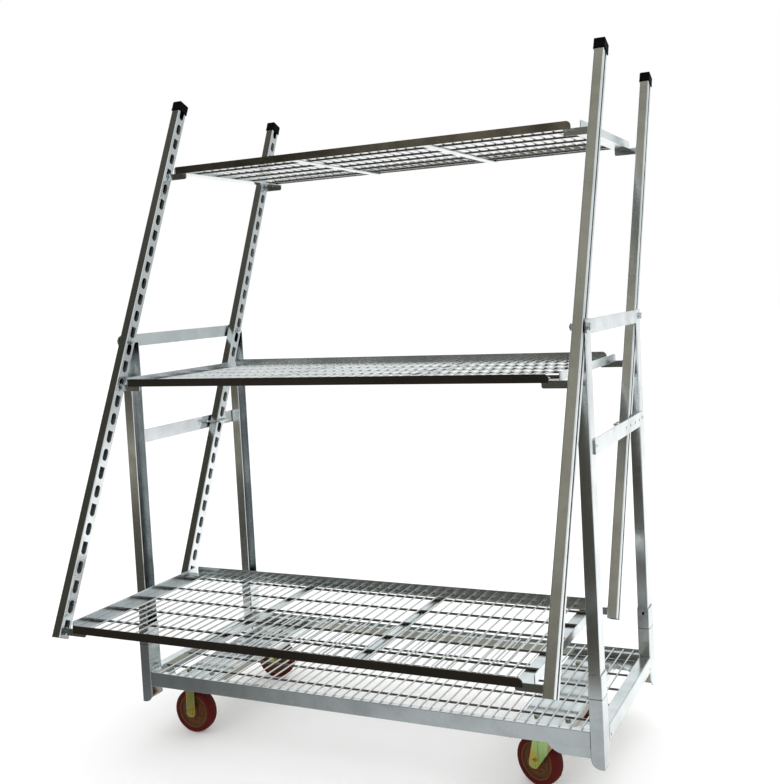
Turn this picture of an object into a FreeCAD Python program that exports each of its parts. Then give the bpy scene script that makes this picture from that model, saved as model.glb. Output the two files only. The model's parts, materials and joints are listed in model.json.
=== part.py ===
import FreeCAD, Part
import math
import os

os.makedirs("parts", exist_ok=True)

Vector = FreeCAD.Vector
middle = Vector(0, 0, 0)
right = Vector(1, 0, 0)
rear = Vector(0, 1, 0)
up = Vector(0, 0, 1)

# A display cart: two pairs of slotted posts hang on pivots between four short uprights of a
# wheeled base, lean together and carry three wire shelves that stay level. Lengths are in
# millimetres and angles in degrees. +X is the cart's right end, +Y its rear, +Z is up, and the
# wheels stand on Z = 0.

# Allowances
cut_overrun = 5.0
seat_clearance = 0.25
running_clearance = 0.05
turning_gap = 0.3

# Wheels
wheel_diameter = 125.0
tyre_thickness = 14.0
tyre_width = 36.0
tyre_shoulder = 7.0
core_rim_thickness = 6.0
core_rim_width = 31.0
core_web_thickness = 14.0
core_step_diameter = 62.0
core_step_width = 22.0
hub_diameter = 34.0
hub_width = 42.0
axle_diameter = 12.0
axle_head_across_flats = 19.0
axle_head_height = 7.0

# Caster forks and their top plates
fork_wall = 3.5
fork_side_gap = 1.0
fixed_leg_width = 28.0
swivel_leg_top_width = 66.0
swivel_leg_foot_width = 30.0
swivel_trail = 33.0
swivel_skirt_height = 12.0
tyre_gap = 7.0
crown_wall = 4.0
race_diameter = 58.0
race_neck_diameter = 44.0
race_height = 17.7
race_rim_height = 9.0
kingpin_diameter = 14.0
top_plate_length = 105.0
top_plate_width = 85.0
top_plate_wall = 4.0
top_plate_round = 8.0
caster_bolt_spacing_x = 80.0
caster_bolt_spacing_y = 60.0
caster_bolt_diameter = 8.0
caster_bolt_across_flats = 13.0
caster_bolt_head_height = 5.3
caster_bolt_hole_play = 0.5
fixed_caster_inset = 135.0
swivel_caster_inset = 155.0
caster_side_inset = 67.5
front_swivel_swing = -20.0
rear_swivel_swing = 14.0

# Base frame
base_length = 1350.0
base_depth = 565.0
corner_width = 34.5
corner_depth = 50.5
corner_wall = 2.5
corner_round = 4.0
corner_rise = 79.0
foot_drop = 48.0
foot_round = 24.0
rail_height = 40.0
rail_wall = 2.5
rail_round = 3.0
rail_ledge_width = 25.0
end_flange_width = 30.0
end_lip_width = 14.0
end_hole_radius = 3.5
end_hole_inset = 16.0
end_hole_rise = 12.0
mount_plate_wall = 3.0
mount_plate_below_top = 23.0
mount_plate_margin_x = 27.5
mount_plate_outer_margin_x = 5.0
mount_plate_lip = 16.0
corner_plate_depth = 105.0
corner_plate_chamfer = 48.0
gusset_wall = 2.5
gusset_drop = 24.0
gusset_length = 60.0
gusset_sweep = 46.0
gusset_bow_share = 0.62
gusset_bow_rise_share = 0.3

# Welded wire decks
base_wire_diameter = 6.0
base_wire_pitch = 101.0
base_cross_wire_diameter = 4.5
base_cross_wire_pitch = 28.0
deck_below_rail = 1.0
weld_sink = 1.0
wire_end_gap = 1.0

# Sleeves over the feet of the uprights
sleeve_height = 56.5
sleeve_hole_radius = 4.5
sleeve_hole_below_top = 14.0

# Uprights, open towards the middle of the cart
upright_wall = 2.5
upright_round = 3.0
upright_insert = 95.0
upright_top_rise = 19.0
upright_top_round = 9.0
notch_room = 25.0
rear_flange_room = 5.0

# Pivots
pivot_rise = 946.0
pivot_outset = 4.25
pivot_lead = 7.5
pivot_bolt_diameter = 10.0
pivot_head_across_flats = 17.0
pivot_head_height = 6.4
pivot_nut_height = 8.4
pivot_bolt_end = 2.1
bush_wall = 3.0

# Bars between the uprights
bar_wall = 4.0
upper_bar_height = 35.0
lower_bar_height = 38.0
lower_bar_lap = 17.0
lower_bar_round = 4.0
rivet_diameter = 6.0
rivet_head_diameter = 11.0
rivet_head_height = 2.6

# Lean setting: the locking pin sits this far below and in front of the rear pivot
pin_drop = 280.0
pin_reach = 125.0
pin_diameter = 7.0
pin_post_gap = 1.33
pin_hole_play = 0.75
pin_bend_radius = 9.0
pin_through = 4.0
pin_tip_gap = 0.4
pin_stand_off = 1.0

# Slotted posts
post_width = 26.0
post_depth = 36.0
post_wall = 2.0
post_round = 2.5
post_side_gap = 1.5
post_below_pivot = 812.0
post_above_pivot = 772.0
slit_play = 0.5
slot_pitch = 50.5
slot_width = 18.0
slot_height = 33.0
slot_end_land = 12.0
slot_top_land = 22.0
cap_wall = 2.2
cap_top_wall = 3.0
cap_height = 30.0
cap_clearance = 0.1
cap_round = 2.5

# Shelves
shelf_wall = 2.0
shelf_side_gap = 4.25
shelf_slot_shares = (0.0, 0.433, 0.867)
tongue_play = 0.9
tongue_length = 12.0
tongue_below_rail_top = 22.0
front_rail_height = 20.6
front_rail_ledge = 14.0
rail_end_inset = 38.0
rail_end_round = 12.0
rail_left_end_round = 2.5
rear_rail_upstand = 10.0
rear_rail_ledge = 25.0
rear_rail_inset = 17.7
end_plate_inset = 18.0
end_plate_rise = 2.5
end_plate_round = 6.0
end_ledge_width = 42.0
bracket_wall = 3.0
bracket_drop = 35.0
bracket_round = 5.0
shelf_wire_diameter = 6.0
shelf_wire_pitch = 98.0
shelf_first_wire = 90.0
shelf_cross_wire_diameter = 4.5
shelf_cross_wire_pitch = 27.9
shelf_deck_below_rail = 7.0
strap_width = 25.0
strap_wall = 3.0
strap_offset = 200.0

# Heights that follow from the wheels up
caster_height = wheel_diameter + tyre_gap + crown_wall + turning_gap + race_height + top_plate_wall
crown_bottom = wheel_diameter + tyre_gap
crown_top = crown_bottom + crown_wall
top_plate_bottom = caster_height - top_plate_wall
mount_plate_top = caster_height + mount_plate_wall
rail_top = mount_plate_top + mount_plate_below_top
rail_bottom = rail_top - rail_height
foot_bottom = rail_bottom - foot_drop
corner_top = rail_top + corner_rise
sleeve_top = corner_top + sleeve_height
pivot_z = rail_top + pivot_rise
pin_z = pivot_z - pin_drop

# Places across the cart, on its right half
half_length = base_length / 2
half_depth = base_depth / 2
corner_inner_x = half_length - corner_width
corner_inner_y = half_depth - corner_depth
corner_middle_x = half_length - corner_width / 2
upright_outer_x = half_length - corner_wall - seat_clearance
upright_inner_x = corner_inner_x + corner_wall + seat_clearance
upright_half_depth = corner_depth / 2 - corner_wall - seat_clearance
upright_y = half_depth - corner_depth / 2
web_inner_x = upright_outer_x - upright_wall
bar_outer_x = upright_outer_x + bar_wall
post_outer_x = web_inner_x - post_side_gap
post_inner_x = post_outer_x - post_width
shelf_side_x = post_inner_x - shelf_side_gap
end_plate_x = shelf_side_x - end_plate_inset
fixed_caster_x = fixed_caster_inset - half_length
swivel_caster_x = half_length - swivel_caster_inset
caster_y = half_depth - caster_side_inset
pivot_spacing = 2 * (upright_y + pivot_outset)
front_pivot_y = -pivot_spacing / 2 - pivot_lead
rear_pivot_y = pivot_spacing / 2 - pivot_lead
pin_y = rear_pivot_y - pin_reach

# Lean of the posts at the middle pin setting and at the least one
lean = math.atan2(pin_reach, pin_drop)
pin_pitch = (post_depth + pin_diameter + 2 * pin_post_gap) / math.cos(lean)
least_lean = math.atan2(pin_reach - pin_pitch, pin_drop)
level_half_depth = post_depth / 2 / math.cos(lean)

# Radii
bolt_radius = pivot_bolt_diameter / 2
bore_radius = bolt_radius + running_clearance
bush_radius = bore_radius + bush_wall
pin_radius = pin_diameter / 2
axle_radius = axle_diameter / 2
wheel_radius = wheel_diameter / 2
core_radius = wheel_radius - tyre_thickness
kingpin_radius = kingpin_diameter / 2
tongue_half_diagonal = slot_width / 2 - tongue_play
tongue_height = 2 * math.sqrt(tongue_half_diagonal ** 2 - (bracket_wall / 2) ** 2)

# Slots, counted from the pivot, which lies midway between two of them
slots_below = math.floor((post_below_pivot - slot_end_land - slot_height / 2) / slot_pitch + 1 / 2)
slots_above = math.floor((post_above_pivot - slot_top_land - slot_height / 2) / slot_pitch + 1 / 2)
slot_places = [(n + 1 / 2) * slot_pitch for n in range(-slots_below, slots_above)]
tongue_below_slot = (slot_height - slot_width) / 2 + tongue_play - running_clearance - seat_clearance

# The model is moved along Y so that its outline is centred on the origin
front_reach = front_pivot_y - post_below_pivot * math.sin(lean) - post_depth / 2 * math.cos(lean)
cap_half_depth = post_depth / 2 + cap_clearance + cap_wall
rear_reach = rear_pivot_y + post_above_pivot * math.sin(lean) + cap_half_depth * math.cos(lean)
frame_shift = Vector(0, -(front_reach + rear_reach) / 2, 0)


def block(low, high):
    """A box between two opposite corners, given in any order."""
    least = [min(a, b) for a, b in zip(low, high)]
    most = [max(a, b) for a, b in zip(low, high)]
    sizes = [b - a for a, b in zip(least, most)]
    return Part.makeBox(*sizes, Vector(*least))


def rod(radius, start, end):
    """A round bar from one point to another."""
    span = end - start
    return Part.makeCylinder(radius, span.Length, start, span)


def sheet(points, thickness):
    """A flat outline of straight sides, thickened along a vector."""
    return Part.Face(Part.makePolygon(points + points[:1])).extrude(thickness)


def hexagon(across_flats, start, axis):
    """A six-sided head or nut that grows from its seat along a vector."""
    radius = across_flats / math.sqrt(3)
    first = (up if abs(axis.z) < axis.Length / 2 else right) * radius
    turn = FreeCAD.Rotation(axis, 60)
    points = [start + first]
    for _ in range(5):
        first = turn.multVec(first)
        points.append(start + first)
    return sheet(points, axis)


def edges_along(shape, axis, keep):
    """The straight edges of a shape that run along an axis and whose middle passes a test."""
    chosen = []
    for edge in shape.Edges:
        ends = edge.Vertexes
        if len(ends) != 2:
            continue
        span = ends[1].Point - ends[0].Point
        if span.cross(axis).Length < running_clearance and keep(edge.CenterOfMass):
            chosen.append(edge)
    return chosen


def rounded(shape, radius, axis, keep=lambda place: True):
    """A shape with the chosen edges along an axis rounded."""
    return shape.makeFillet(radius, edges_along(shape, axis, keep))


def mirrored(shape, normal):
    return shape.mirror(middle, normal)


def both_ends(shape):
    """A right-hand piece and its left-hand twin."""
    return [shape, mirrored(shape, right)]


def four_corners(shape):
    """A piece of the right rear corner and its twins at the other corners."""
    pair = [shape, mirrored(shape, rear)]
    return pair + [mirrored(piece, right) for piece in pair]


def joined(pieces):
    return pieces[0].multiFuse(pieces[1:])


def leaned(shape, pivot_y):
    """A piece drawn upright about the origin, hung on a pivot and leaned back."""
    shape = shape.copy()
    shape.rotate(middle, right, -math.degrees(lean))
    shape.translate(Vector(0, pivot_y, pivot_z))
    return shape


def save(node, pieces):
    shape = pieces[0] if len(pieces) == 1 else Part.makeCompound(pieces)
    shape = shape.copy()
    shape.translate(frame_shift)
    shape.exportStep(f"parts/{node}.step")


# Base frame


def corner_post():
    """Right rear corner tube, with a foot rounded towards the middle of the cart."""
    low = (corner_inner_x, corner_inner_y, foot_bottom)
    high = (half_length, half_depth, corner_top)
    tube = rounded(block(low, high), corner_round, up)
    wall = corner_wall
    cavity_low = (low[0] + wall, low[1] + wall, low[2] - cut_overrun)
    cavity_high = (high[0] - wall, high[1] - wall, high[2] + cut_overrun)
    tube = tube.cut(block(cavity_low, cavity_high))
    side = block(low, (high[0], high[1] + cut_overrun, high[2]))
    side = rounded(side, foot_round, rear, lambda p: p.x < corner_middle_x and p.z < rail_bottom)
    face = block(low, (high[0] + cut_overrun, high[1], high[2]))
    face = rounded(face, foot_round, right, lambda p: p.y < upright_y and p.z < rail_bottom)
    return tube.common(side).common(face)


def long_rail():
    """Rear rail of the base: a face with a ledge inside for the deck."""
    ledge_top = rail_top - deck_below_rail - base_cross_wire_diameter
    face = block(
        (-corner_inner_x, half_depth - rail_wall, rail_bottom),
        (corner_inner_x, half_depth, rail_top),
    )
    face = rounded(face, rail_wall / 3, right, lambda p: p.y > half_depth - rail_wall / 2)
    ledge_front = half_depth - rail_wall - rail_ledge_width
    ledge = block(
        (-corner_inner_x, ledge_front, ledge_top - rail_wall),
        (corner_inner_x, half_depth - rail_wall, ledge_top),
    )
    return face.fuse(ledge).removeSplitter()


def end_rail():
    """Right end rail of the base: outer face, flat top and a lip under."""
    reach = corner_inner_y
    body = block((half_length - end_flange_width, -reach, rail_bottom), (half_length, reach, rail_top))
    body = rounded(body, rail_round, rear, lambda p: p.x > half_length - rail_wall)
    inside = block(
        (half_length - end_flange_width - cut_overrun, -reach - cut_overrun, rail_bottom + rail_wall),
        (half_length - rail_wall, reach + cut_overrun, rail_top - rail_wall),
    )
    under = block(
        (half_length - end_flange_width - cut_overrun, -reach - cut_overrun, rail_bottom - cut_overrun),
        (half_length - end_lip_width, reach + cut_overrun, rail_bottom + rail_wall),
    )
    body = body.cut([inside, under])
    hole_z = rail_bottom + end_hole_rise
    for side in (-1, 1):
        place = Vector(half_length - rail_wall - cut_overrun, side * (reach - end_hole_inset), hole_z)
        body = body.cut(rod(end_hole_radius, place, place + right * (rail_wall + 2 * cut_overrun)))
    return body


def caster_holes(caster_x):
    """The four bolt places of a rear caster."""
    places = []
    for side_x in (-1, 1):
        for side_y in (-1, 1):
            x = caster_x + side_x * caster_bolt_spacing_x / 2
            y = caster_y + side_y * caster_bolt_spacing_y / 2
            places.append(Vector(x, y, caster_height))
    return places


def drilled(plate, caster_x):
    """A level plate with the caster's bolt holes through it."""
    radius = caster_bolt_diameter / 2 + caster_bolt_hole_play
    depth = up * (top_plate_wall + mount_plate_wall + cut_overrun)
    return plate.cut([rod(radius, place - depth, place + depth) for place in caster_holes(caster_x)])


def gusset():
    """Turned-down rear edge of the right mount plate, seen under the rail beside the foot."""
    low = rail_bottom - gusset_drop
    outer = corner_inner_x
    inner = outer - gusset_length
    tip = inner - gusset_sweep
    face_y = half_depth - rail_wall - gusset_wall
    top_outer = Vector(outer, face_y, caster_height)
    low_outer = Vector(outer, face_y, low)
    low_inner = Vector(inner, face_y, low)
    tip_low = Vector(tip, face_y, rail_bottom)
    tip_top = Vector(tip, face_y, caster_height)
    bow_x = inner - gusset_sweep * gusset_bow_share
    bow = Vector(bow_x, face_y, low + gusset_drop * gusset_bow_rise_share)
    edges = [
        Part.LineSegment(tip_top, top_outer).toShape(),
        Part.LineSegment(top_outer, low_outer).toShape(),
        Part.LineSegment(low_outer, low_inner).toShape(),
        Part.Arc(low_inner, bow, tip_low).toShape(),
        Part.LineSegment(tip_low, tip_top).toShape(),
    ]
    return Part.Face(Part.Wire(edges)).extrude(rear * gusset_wall)


def mount_plate(caster_x):
    """Plate with turned-down edges that runs from rail to rail under two casters' bolts and
    widens to the corner tubes."""
    end = 1 if caster_x > 0 else -1
    inner_x = caster_x - end * (top_plate_length / 2 + mount_plate_margin_x)
    edge_x = caster_x + end * (top_plate_length / 2 + mount_plate_outer_margin_x)
    outer_x = end * (half_length - rail_wall)
    outer_y = half_depth - rail_wall
    corner_y = outer_y - corner_plate_depth
    points = [
        Vector(inner_x, 0, caster_height),
        Vector(inner_x, outer_y, caster_height),
        Vector(outer_x, outer_y, caster_height),
        Vector(outer_x, corner_y, caster_height),
        Vector(edge_x + end * corner_plate_chamfer, corner_y, caster_height),
        Vector(edge_x, corner_y + corner_plate_chamfer, caster_height),
        Vector(edge_x, 0, caster_height),
    ]
    half = sheet(points, up * mount_plate_wall)
    if end > 0:
        half = half.fuse(gusset())
    lip_low = caster_height - mount_plate_lip
    for lip_x, inward in ((inner_x, end), (edge_x, -end)):
        half = half.fuse(block(
            (lip_x, 0, lip_low),
            (lip_x + inward * mount_plate_wall, outer_y, caster_height),
        ))
    half = half.cut(block(
        (end * corner_inner_x, corner_inner_y, foot_bottom),
        (end * half_length, half_depth, corner_top),
    ))
    half = drilled(half, caster_x)
    return half.fuse(mirrored(half, rear)).removeSplitter()


def evenly_about_zero(reach, pitch):
    count = math.floor(reach / pitch)
    return [n * pitch for n in range(-count, count + 1)]


def base_deck():
    cross_radius = base_cross_wire_diameter / 2
    wire_radius = base_wire_diameter / 2
    cross_z = rail_top - deck_below_rail - cross_radius
    wire_z = cross_z - cross_radius - wire_radius + weld_sink
    reach_x = half_length - end_flange_width - wire_end_gap
    reach_y = half_depth - rail_wall - wire_end_gap
    wires = []
    for y in evenly_about_zero(reach_y - rail_ledge_width - base_wire_diameter, base_wire_pitch):
        wires.append(rod(wire_radius, Vector(-reach_x, y, wire_z), Vector(reach_x, y, wire_z)))
    cross_wires = []
    for x in evenly_about_zero(reach_x - base_cross_wire_diameter, base_cross_wire_pitch):
        cross_wires.append(rod(cross_radius, Vector(x, -reach_y, cross_z), Vector(x, reach_y, cross_z)))
    return joined(wires + cross_wires)


# Uprights, sleeves and bars


def sleeve():
    """Right rear collar that stands on the corner tube and grips the upright."""
    low = (corner_inner_x, corner_inner_y, corner_top)
    high = (half_length, half_depth, sleeve_top)
    collar = rounded(block(low, high), corner_round, up)
    wall = corner_wall
    cavity_low = (low[0] + wall, low[1] + wall, low[2] - cut_overrun)
    cavity_high = (high[0] - wall, high[1] - wall, high[2] + cut_overrun)
    collar = collar.cut(block(cavity_low, cavity_high))
    return collar.cut(sleeve_hole())


def sleeve_hole():
    """Hole in the side of a rear sleeve that faces the middle of the cart."""
    place = Vector(corner_middle_x, corner_inner_y - cut_overrun, sleeve_top - sleeve_hole_below_top)
    return rod(sleeve_hole_radius, place, place + rear * (corner_wall + upright_wall + 2 * cut_overrun))


def upright(side_y, pivot_y):
    """Right upright: a channel whose flanges stop short of the leaning post."""
    middle_y = side_y * upright_y
    front = middle_y - upright_half_depth
    back = middle_y + upright_half_depth
    low = corner_top - upright_insert
    top = pivot_z + upright_top_rise
    channel = block((upright_inner_x, front, low), (upright_outer_x, back, top))
    channel = rounded(channel, upright_round, up, lambda p: p.x > corner_middle_x)
    channel = channel.cut(block(
        (upright_inner_x - cut_overrun, front + upright_wall, low - cut_overrun),
        (web_inner_x, back - upright_wall, top + cut_overrun),
    ))
    passing = pivot_y - front + post_depth / 2 / math.cos(least_lean)
    notch_z = pivot_z - passing / math.tan(least_lean) - notch_room
    channel = channel.cut(block(
        (upright_inner_x - cut_overrun, front - cut_overrun, notch_z),
        (web_inner_x, front + upright_wall, top + cut_overrun),
    ))
    channel = channel.cut(block(
        (upright_inner_x - cut_overrun, back - upright_wall, pivot_z - rear_flange_room),
        (web_inner_x, back + cut_overrun, top + cut_overrun),
    ))
    outline = block((upright_inner_x, front, low), (upright_outer_x, back, top))
    channel = channel.common(rounded(outline, upright_top_round, right, lambda p: p.z > pivot_z))
    pivot = Vector(web_inner_x - cut_overrun, pivot_y, pivot_z)
    channel = channel.cut(rod(bore_radius, pivot, pivot + right * (upright_wall + 2 * cut_overrun)))
    hole = sleeve_hole() if side_y > 0 else mirrored(sleeve_hole(), rear)
    return channel.cut(hole)


def upper_bar():
    """Right bar with round ends that ties the two pivots together outside the uprights."""
    radius = upper_bar_height / 2
    low = Vector(upright_outer_x, front_pivot_y, pivot_z)
    high = Vector(upright_outer_x, rear_pivot_y, pivot_z)
    through = right * bar_wall
    bar = block(
        (upright_outer_x, front_pivot_y, pivot_z - radius),
        (bar_outer_x, rear_pivot_y, pivot_z + radius),
    )
    bar = bar.fuse([rod(radius, low, low + through), rod(radius, high, high + through)]).removeSplitter()
    overrun = right * cut_overrun
    holes = [rod(bore_radius, place - overrun, place + through + overrun) for place in (low, high)]
    return bar.cut(holes)


def rivet_places():
    """Middles of the rivets at the ends of the right lower bar."""
    reach = upright_y - upright_half_depth + lower_bar_lap / 2
    return [Vector(bar_outer_x, side * reach, pin_z) for side in (-1, 1)]


def lower_bar():
    """Right bar riveted across the uprights, with the holes of the locking pin."""
    reach = upright_y - upright_half_depth + lower_bar_lap
    radius = lower_bar_height / 2
    bar = block((upright_outer_x, -reach, pin_z - radius), (bar_outer_x, reach, pin_z + radius))
    bar = rounded(bar, lower_bar_round, right)
    inside = upright_outer_x - cut_overrun
    outside = bar_outer_x + cut_overrun
    for step in (-3, -1, 1, 3):
        y = pin_y + step * pin_pitch / 2
        bar = bar.cut(rod(pin_radius + pin_hole_play, Vector(inside, y, pin_z), Vector(outside, y, pin_z)))
    for place in rivet_places():
        start = place - right * (bar_wall + cut_overrun)
        bar = bar.cut(rod(rivet_diameter / 2, start, place + right * cut_overrun))
    return bar


def rivet(place):
    """A domed rivet that ends on the face of the upright."""
    radius = rivet_head_diameter / 2
    ball_radius = (radius ** 2 + rivet_head_height ** 2) / 2 / rivet_head_height
    ball = Part.makeSphere(ball_radius, place + right * (rivet_head_height - ball_radius))
    head = ball.common(rod(ball_radius, place, place + right * ball_radius))
    shank = rod(rivet_diameter / 2, place - right * bar_wall, place)
    return head.fuse(shank)


def pivot_bolt(pivot_y):
    """Right pivot bolt, head outside and its thread end past the nut."""
    seat = Vector(bar_outer_x, pivot_y, pivot_z)
    end_x = post_inner_x - turning_gap - pivot_nut_height - pivot_bolt_end
    head = hexagon(pivot_head_across_flats, seat, right * pivot_head_height)
    return head.fuse(rod(bolt_radius, seat, Vector(end_x, pivot_y, pivot_z)))


def pivot_nut(pivot_y):
    seat = Vector(post_inner_x - turning_gap, pivot_y, pivot_z)
    nut = hexagon(pivot_head_across_flats, seat, right * -pivot_nut_height)
    overrun = right * cut_overrun
    return nut.cut(rod(bore_radius, seat + overrun, seat - right * pivot_nut_height - overrun))


# Leaning posts


def slot_cutter(place, flat_top):
    """A slot with a round foot and a flat or round top, cut through the inner wall of a post."""
    radius = slot_width / 2
    x = post_inner_x - cut_overrun
    top = place + slot_height / 2
    straight_low = place - slot_height / 2 + radius
    straight_high = top if flat_top else top - radius
    low_front = Vector(x, -radius, straight_low)
    low_rear = Vector(x, radius, straight_low)
    high_front = Vector(x, -radius, straight_high)
    high_rear = Vector(x, radius, straight_high)
    edges = [
        Part.Arc(low_front, Vector(x, 0, straight_low - radius), low_rear).toShape(),
        Part.LineSegment(low_rear, high_rear).toShape(),
    ]
    if flat_top:
        edges.append(Part.LineSegment(high_rear, high_front).toShape())
    else:
        edges.append(Part.Arc(high_rear, Vector(x, 0, top), high_front).toShape())
    edges.append(Part.LineSegment(high_front, low_front).toShape())
    return Part.Face(Part.Wire(edges)).extrude(right * (post_wall + 2 * cut_overrun))


def slotted_post():
    """Right post, drawn upright about its pivot: slotted inside, with an open slit outside."""
    top = post_above_pivot - cap_top_wall - cap_clearance
    half = post_depth / 2
    wall = post_wall
    post = block((post_inner_x, -half, -post_below_pivot), (post_outer_x, half, top))
    post = rounded(post, post_round, up)
    cavity = block(
        (post_inner_x + wall, -half + wall, -post_below_pivot - cut_overrun),
        (post_outer_x - wall, half - wall, top + cut_overrun),
    )
    slit_half = bolt_radius + slit_play
    slit = block(
        (post_outer_x - wall - cut_overrun, -slit_half, -post_below_pivot - cut_overrun),
        (post_outer_x + cut_overrun, slit_half, top + cut_overrun),
    )
    post = post.cut([cavity, slit])
    cutters = [slot_cutter(place, number % 2 == 0) for number, place in enumerate(slot_places)]
    start = Vector(post_inner_x - cut_overrun, 0, 0)
    cutters.append(rod(bore_radius, start, start + right * (wall + 2 * cut_overrun)))
    return post.cut(cutters)


def bush():
    """Right distance bush, between the inner wall and the outer lips of the post."""
    start = Vector(post_inner_x + post_wall, 0, 0)
    end = Vector(post_outer_x - post_wall, 0, 0)
    overrun = right * cut_overrun
    return rod(bush_radius, start, end).cut(rod(bore_radius, start - overrun, end + overrun))


def post_cap():
    """Right cap pushed over the top of a post."""
    edge = cap_wall + cap_clearance
    half = post_depth / 2 + edge
    cap = block(
        (post_inner_x - edge, -half, post_above_pivot - cap_height),
        (post_outer_x + edge, half, post_above_pivot),
    )
    cap = rounded(cap, cap_round, up)
    cap = cap.makeFillet(cap_wall, [e for e in cap.Edges if e.BoundBox.ZMin > post_above_pivot - cap_wall])
    inside = post_depth / 2 + cap_clearance
    hollow = block(
        (post_inner_x - cap_clearance, -inside, post_above_pivot - cap_height - cut_overrun),
        (post_outer_x + cap_clearance, inside, post_above_pivot - cap_top_wall),
    )
    return cap.cut(hollow)


def locking_pin():
    """Right locking pin: a bent round bar astride the rear post, drawn back clear of the bar."""
    tip_x = upright_outer_x - pin_tip_gap
    drawn_back = bar_wall + pin_through + pin_tip_gap
    bend_x = post_inner_x - pin_stand_off - pin_radius - drawn_back
    half = pin_pitch / 2
    bend = pin_bend_radius
    inset = bend * (1 - math.sqrt(1 / 2))
    front = pin_y - half
    back = pin_y + half
    path = [
        Part.LineSegment(Vector(tip_x, front, pin_z), Vector(bend_x + bend, front, pin_z)),
        Part.Arc(
            Vector(bend_x + bend, front, pin_z),
            Vector(bend_x + inset, front + inset, pin_z),
            Vector(bend_x, front + bend, pin_z),
        ),
        Part.LineSegment(Vector(bend_x, front + bend, pin_z), Vector(bend_x, back - bend, pin_z)),
        Part.Arc(
            Vector(bend_x, back - bend, pin_z),
            Vector(bend_x + inset, back - inset, pin_z),
            Vector(bend_x + bend, back, pin_z),
        ),
        Part.LineSegment(Vector(bend_x + bend, back, pin_z), Vector(tip_x, back, pin_z)),
    ]
    wire = Part.Wire([piece.toShape() for piece in path])
    section = Part.Wire(Part.makeCircle(pin_radius, Vector(tip_x, front, pin_z), right))
    return wire.makePipeShell([section], True, False)


# Shelves, drawn with the top front edge of the shelf on the X axis and moved to their slots


def shelf_levels():
    """Heights inside a shelf, below its top edge."""
    cross_bottom = -shelf_deck_below_rail - shelf_cross_wire_diameter
    wire_bottom = cross_bottom + weld_sink - shelf_wire_diameter
    return cross_bottom, wire_bottom


def shelf_depth():
    return level_half_depth + pivot_spacing - rear_rail_inset


def shelf_rail_reach():
    return shelf_side_x - rail_end_inset


def shelf_rail_face(low, high):
    """Upright face of a long rail, its right end well rounded and its left end nearly square."""
    face = rounded(block(low, high), rail_end_round, rear, lambda p: p.x > 0 and p.z > -shelf_wall)
    return rounded(face, rail_left_end_round, rear, lambda p: p.x < 0 and p.z > -shelf_wall)


def shelf_front_rail():
    reach = shelf_rail_reach()
    cross_bottom = shelf_levels()[0]
    face = shelf_rail_face((-reach, 0, -front_rail_height), (reach, shelf_wall, 0))
    ledge = block(
        (-reach + rail_end_round, shelf_wall, cross_bottom - shelf_wall),
        (reach - rail_end_round, shelf_wall + front_rail_ledge, cross_bottom),
    )
    return face.fuse(ledge)


def shelf_rear_rail():
    reach = shelf_rail_reach()
    cross_bottom, end_ledge_top = shelf_levels()
    back = shelf_depth()
    low = (-reach, back - shelf_wall, end_ledge_top)
    face = shelf_rail_face(low, (reach, back, rear_rail_upstand))
    ledge = block(
        (-reach, back - shelf_wall - rear_rail_ledge, cross_bottom - shelf_wall),
        (reach, back - shelf_wall, cross_bottom),
    )
    return face.fuse(ledge)


def shelf_bracket(y):
    """Turned-down end of the right end rail, with the tongue that goes into a post's slot."""
    half = bracket_wall / 2
    inner = end_plate_x - shelf_wall - end_ledge_width
    bracket = block((inner, y - half, -bracket_drop), (shelf_side_x, y + half, shelf_levels()[1]))
    bracket = rounded(bracket, bracket_round, rear, lambda p: p.x < end_plate_x and p.z < -bracket_drop / 2)
    tongue_middle = -tongue_below_rail_top
    tongue = block(
        (shelf_side_x, y - half, tongue_middle - tongue_height / 2),
        (shelf_side_x + tongue_length, y + half, tongue_middle + tongue_height / 2),
    )
    return bracket.fuse(tongue)


def shelf_end_rail():
    """Right end rail: a ledge under the deck, an upright plate and a bracket at each end."""
    ledge_top = shelf_levels()[1]
    front = level_half_depth
    back = level_half_depth + pivot_spacing
    half = bracket_wall / 2
    plate = block(
        (end_plate_x - shelf_wall, front + half, ledge_top - shelf_wall),
        (end_plate_x, back - half, end_plate_rise),
    )
    plate = rounded(plate, end_plate_round, right, lambda p: p.z > 0)
    ledge = block(
        (end_plate_x - shelf_wall - end_ledge_width, front - half, ledge_top - shelf_wall),
        (end_plate_x, back + half, ledge_top),
    )
    return plate.fuse([ledge, shelf_bracket(front), shelf_bracket(back)]).removeSplitter()


def shelf_deck():
    cross_bottom, wire_bottom = shelf_levels()
    cross_radius = shelf_cross_wire_diameter / 2
    wire_radius = shelf_wire_diameter / 2
    cross_z = cross_bottom + cross_radius
    wire_z = wire_bottom + wire_radius
    reach_x = end_plate_x - shelf_wall - wire_end_gap
    cross_reach = end_plate_x - shelf_wall - end_ledge_width
    back = shelf_depth() - shelf_wall
    wires = []
    y = shelf_first_wire
    while y < back - rear_rail_ledge - shelf_wire_diameter:
        wires.append(rod(wire_radius, Vector(-reach_x, y, wire_z), Vector(reach_x, y, wire_z)))
        y += shelf_wire_pitch
    cross_wires = []
    for x in evenly_about_zero(cross_reach, shelf_cross_wire_pitch):
        start = Vector(x, shelf_wall + running_clearance, cross_z)
        cross_wires.append(rod(cross_radius, start, Vector(x, back - running_clearance, cross_z)))
    return joined(wires + cross_wires)


def shelf_strap():
    """Right flat strap under the deck, from the front rail to under the rear rail."""
    top = shelf_levels()[1]
    return block(
        (strap_offset - strap_width / 2, shelf_wall, top - strap_wall),
        (strap_offset + strap_width / 2, shelf_depth(), top),
    )


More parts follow.
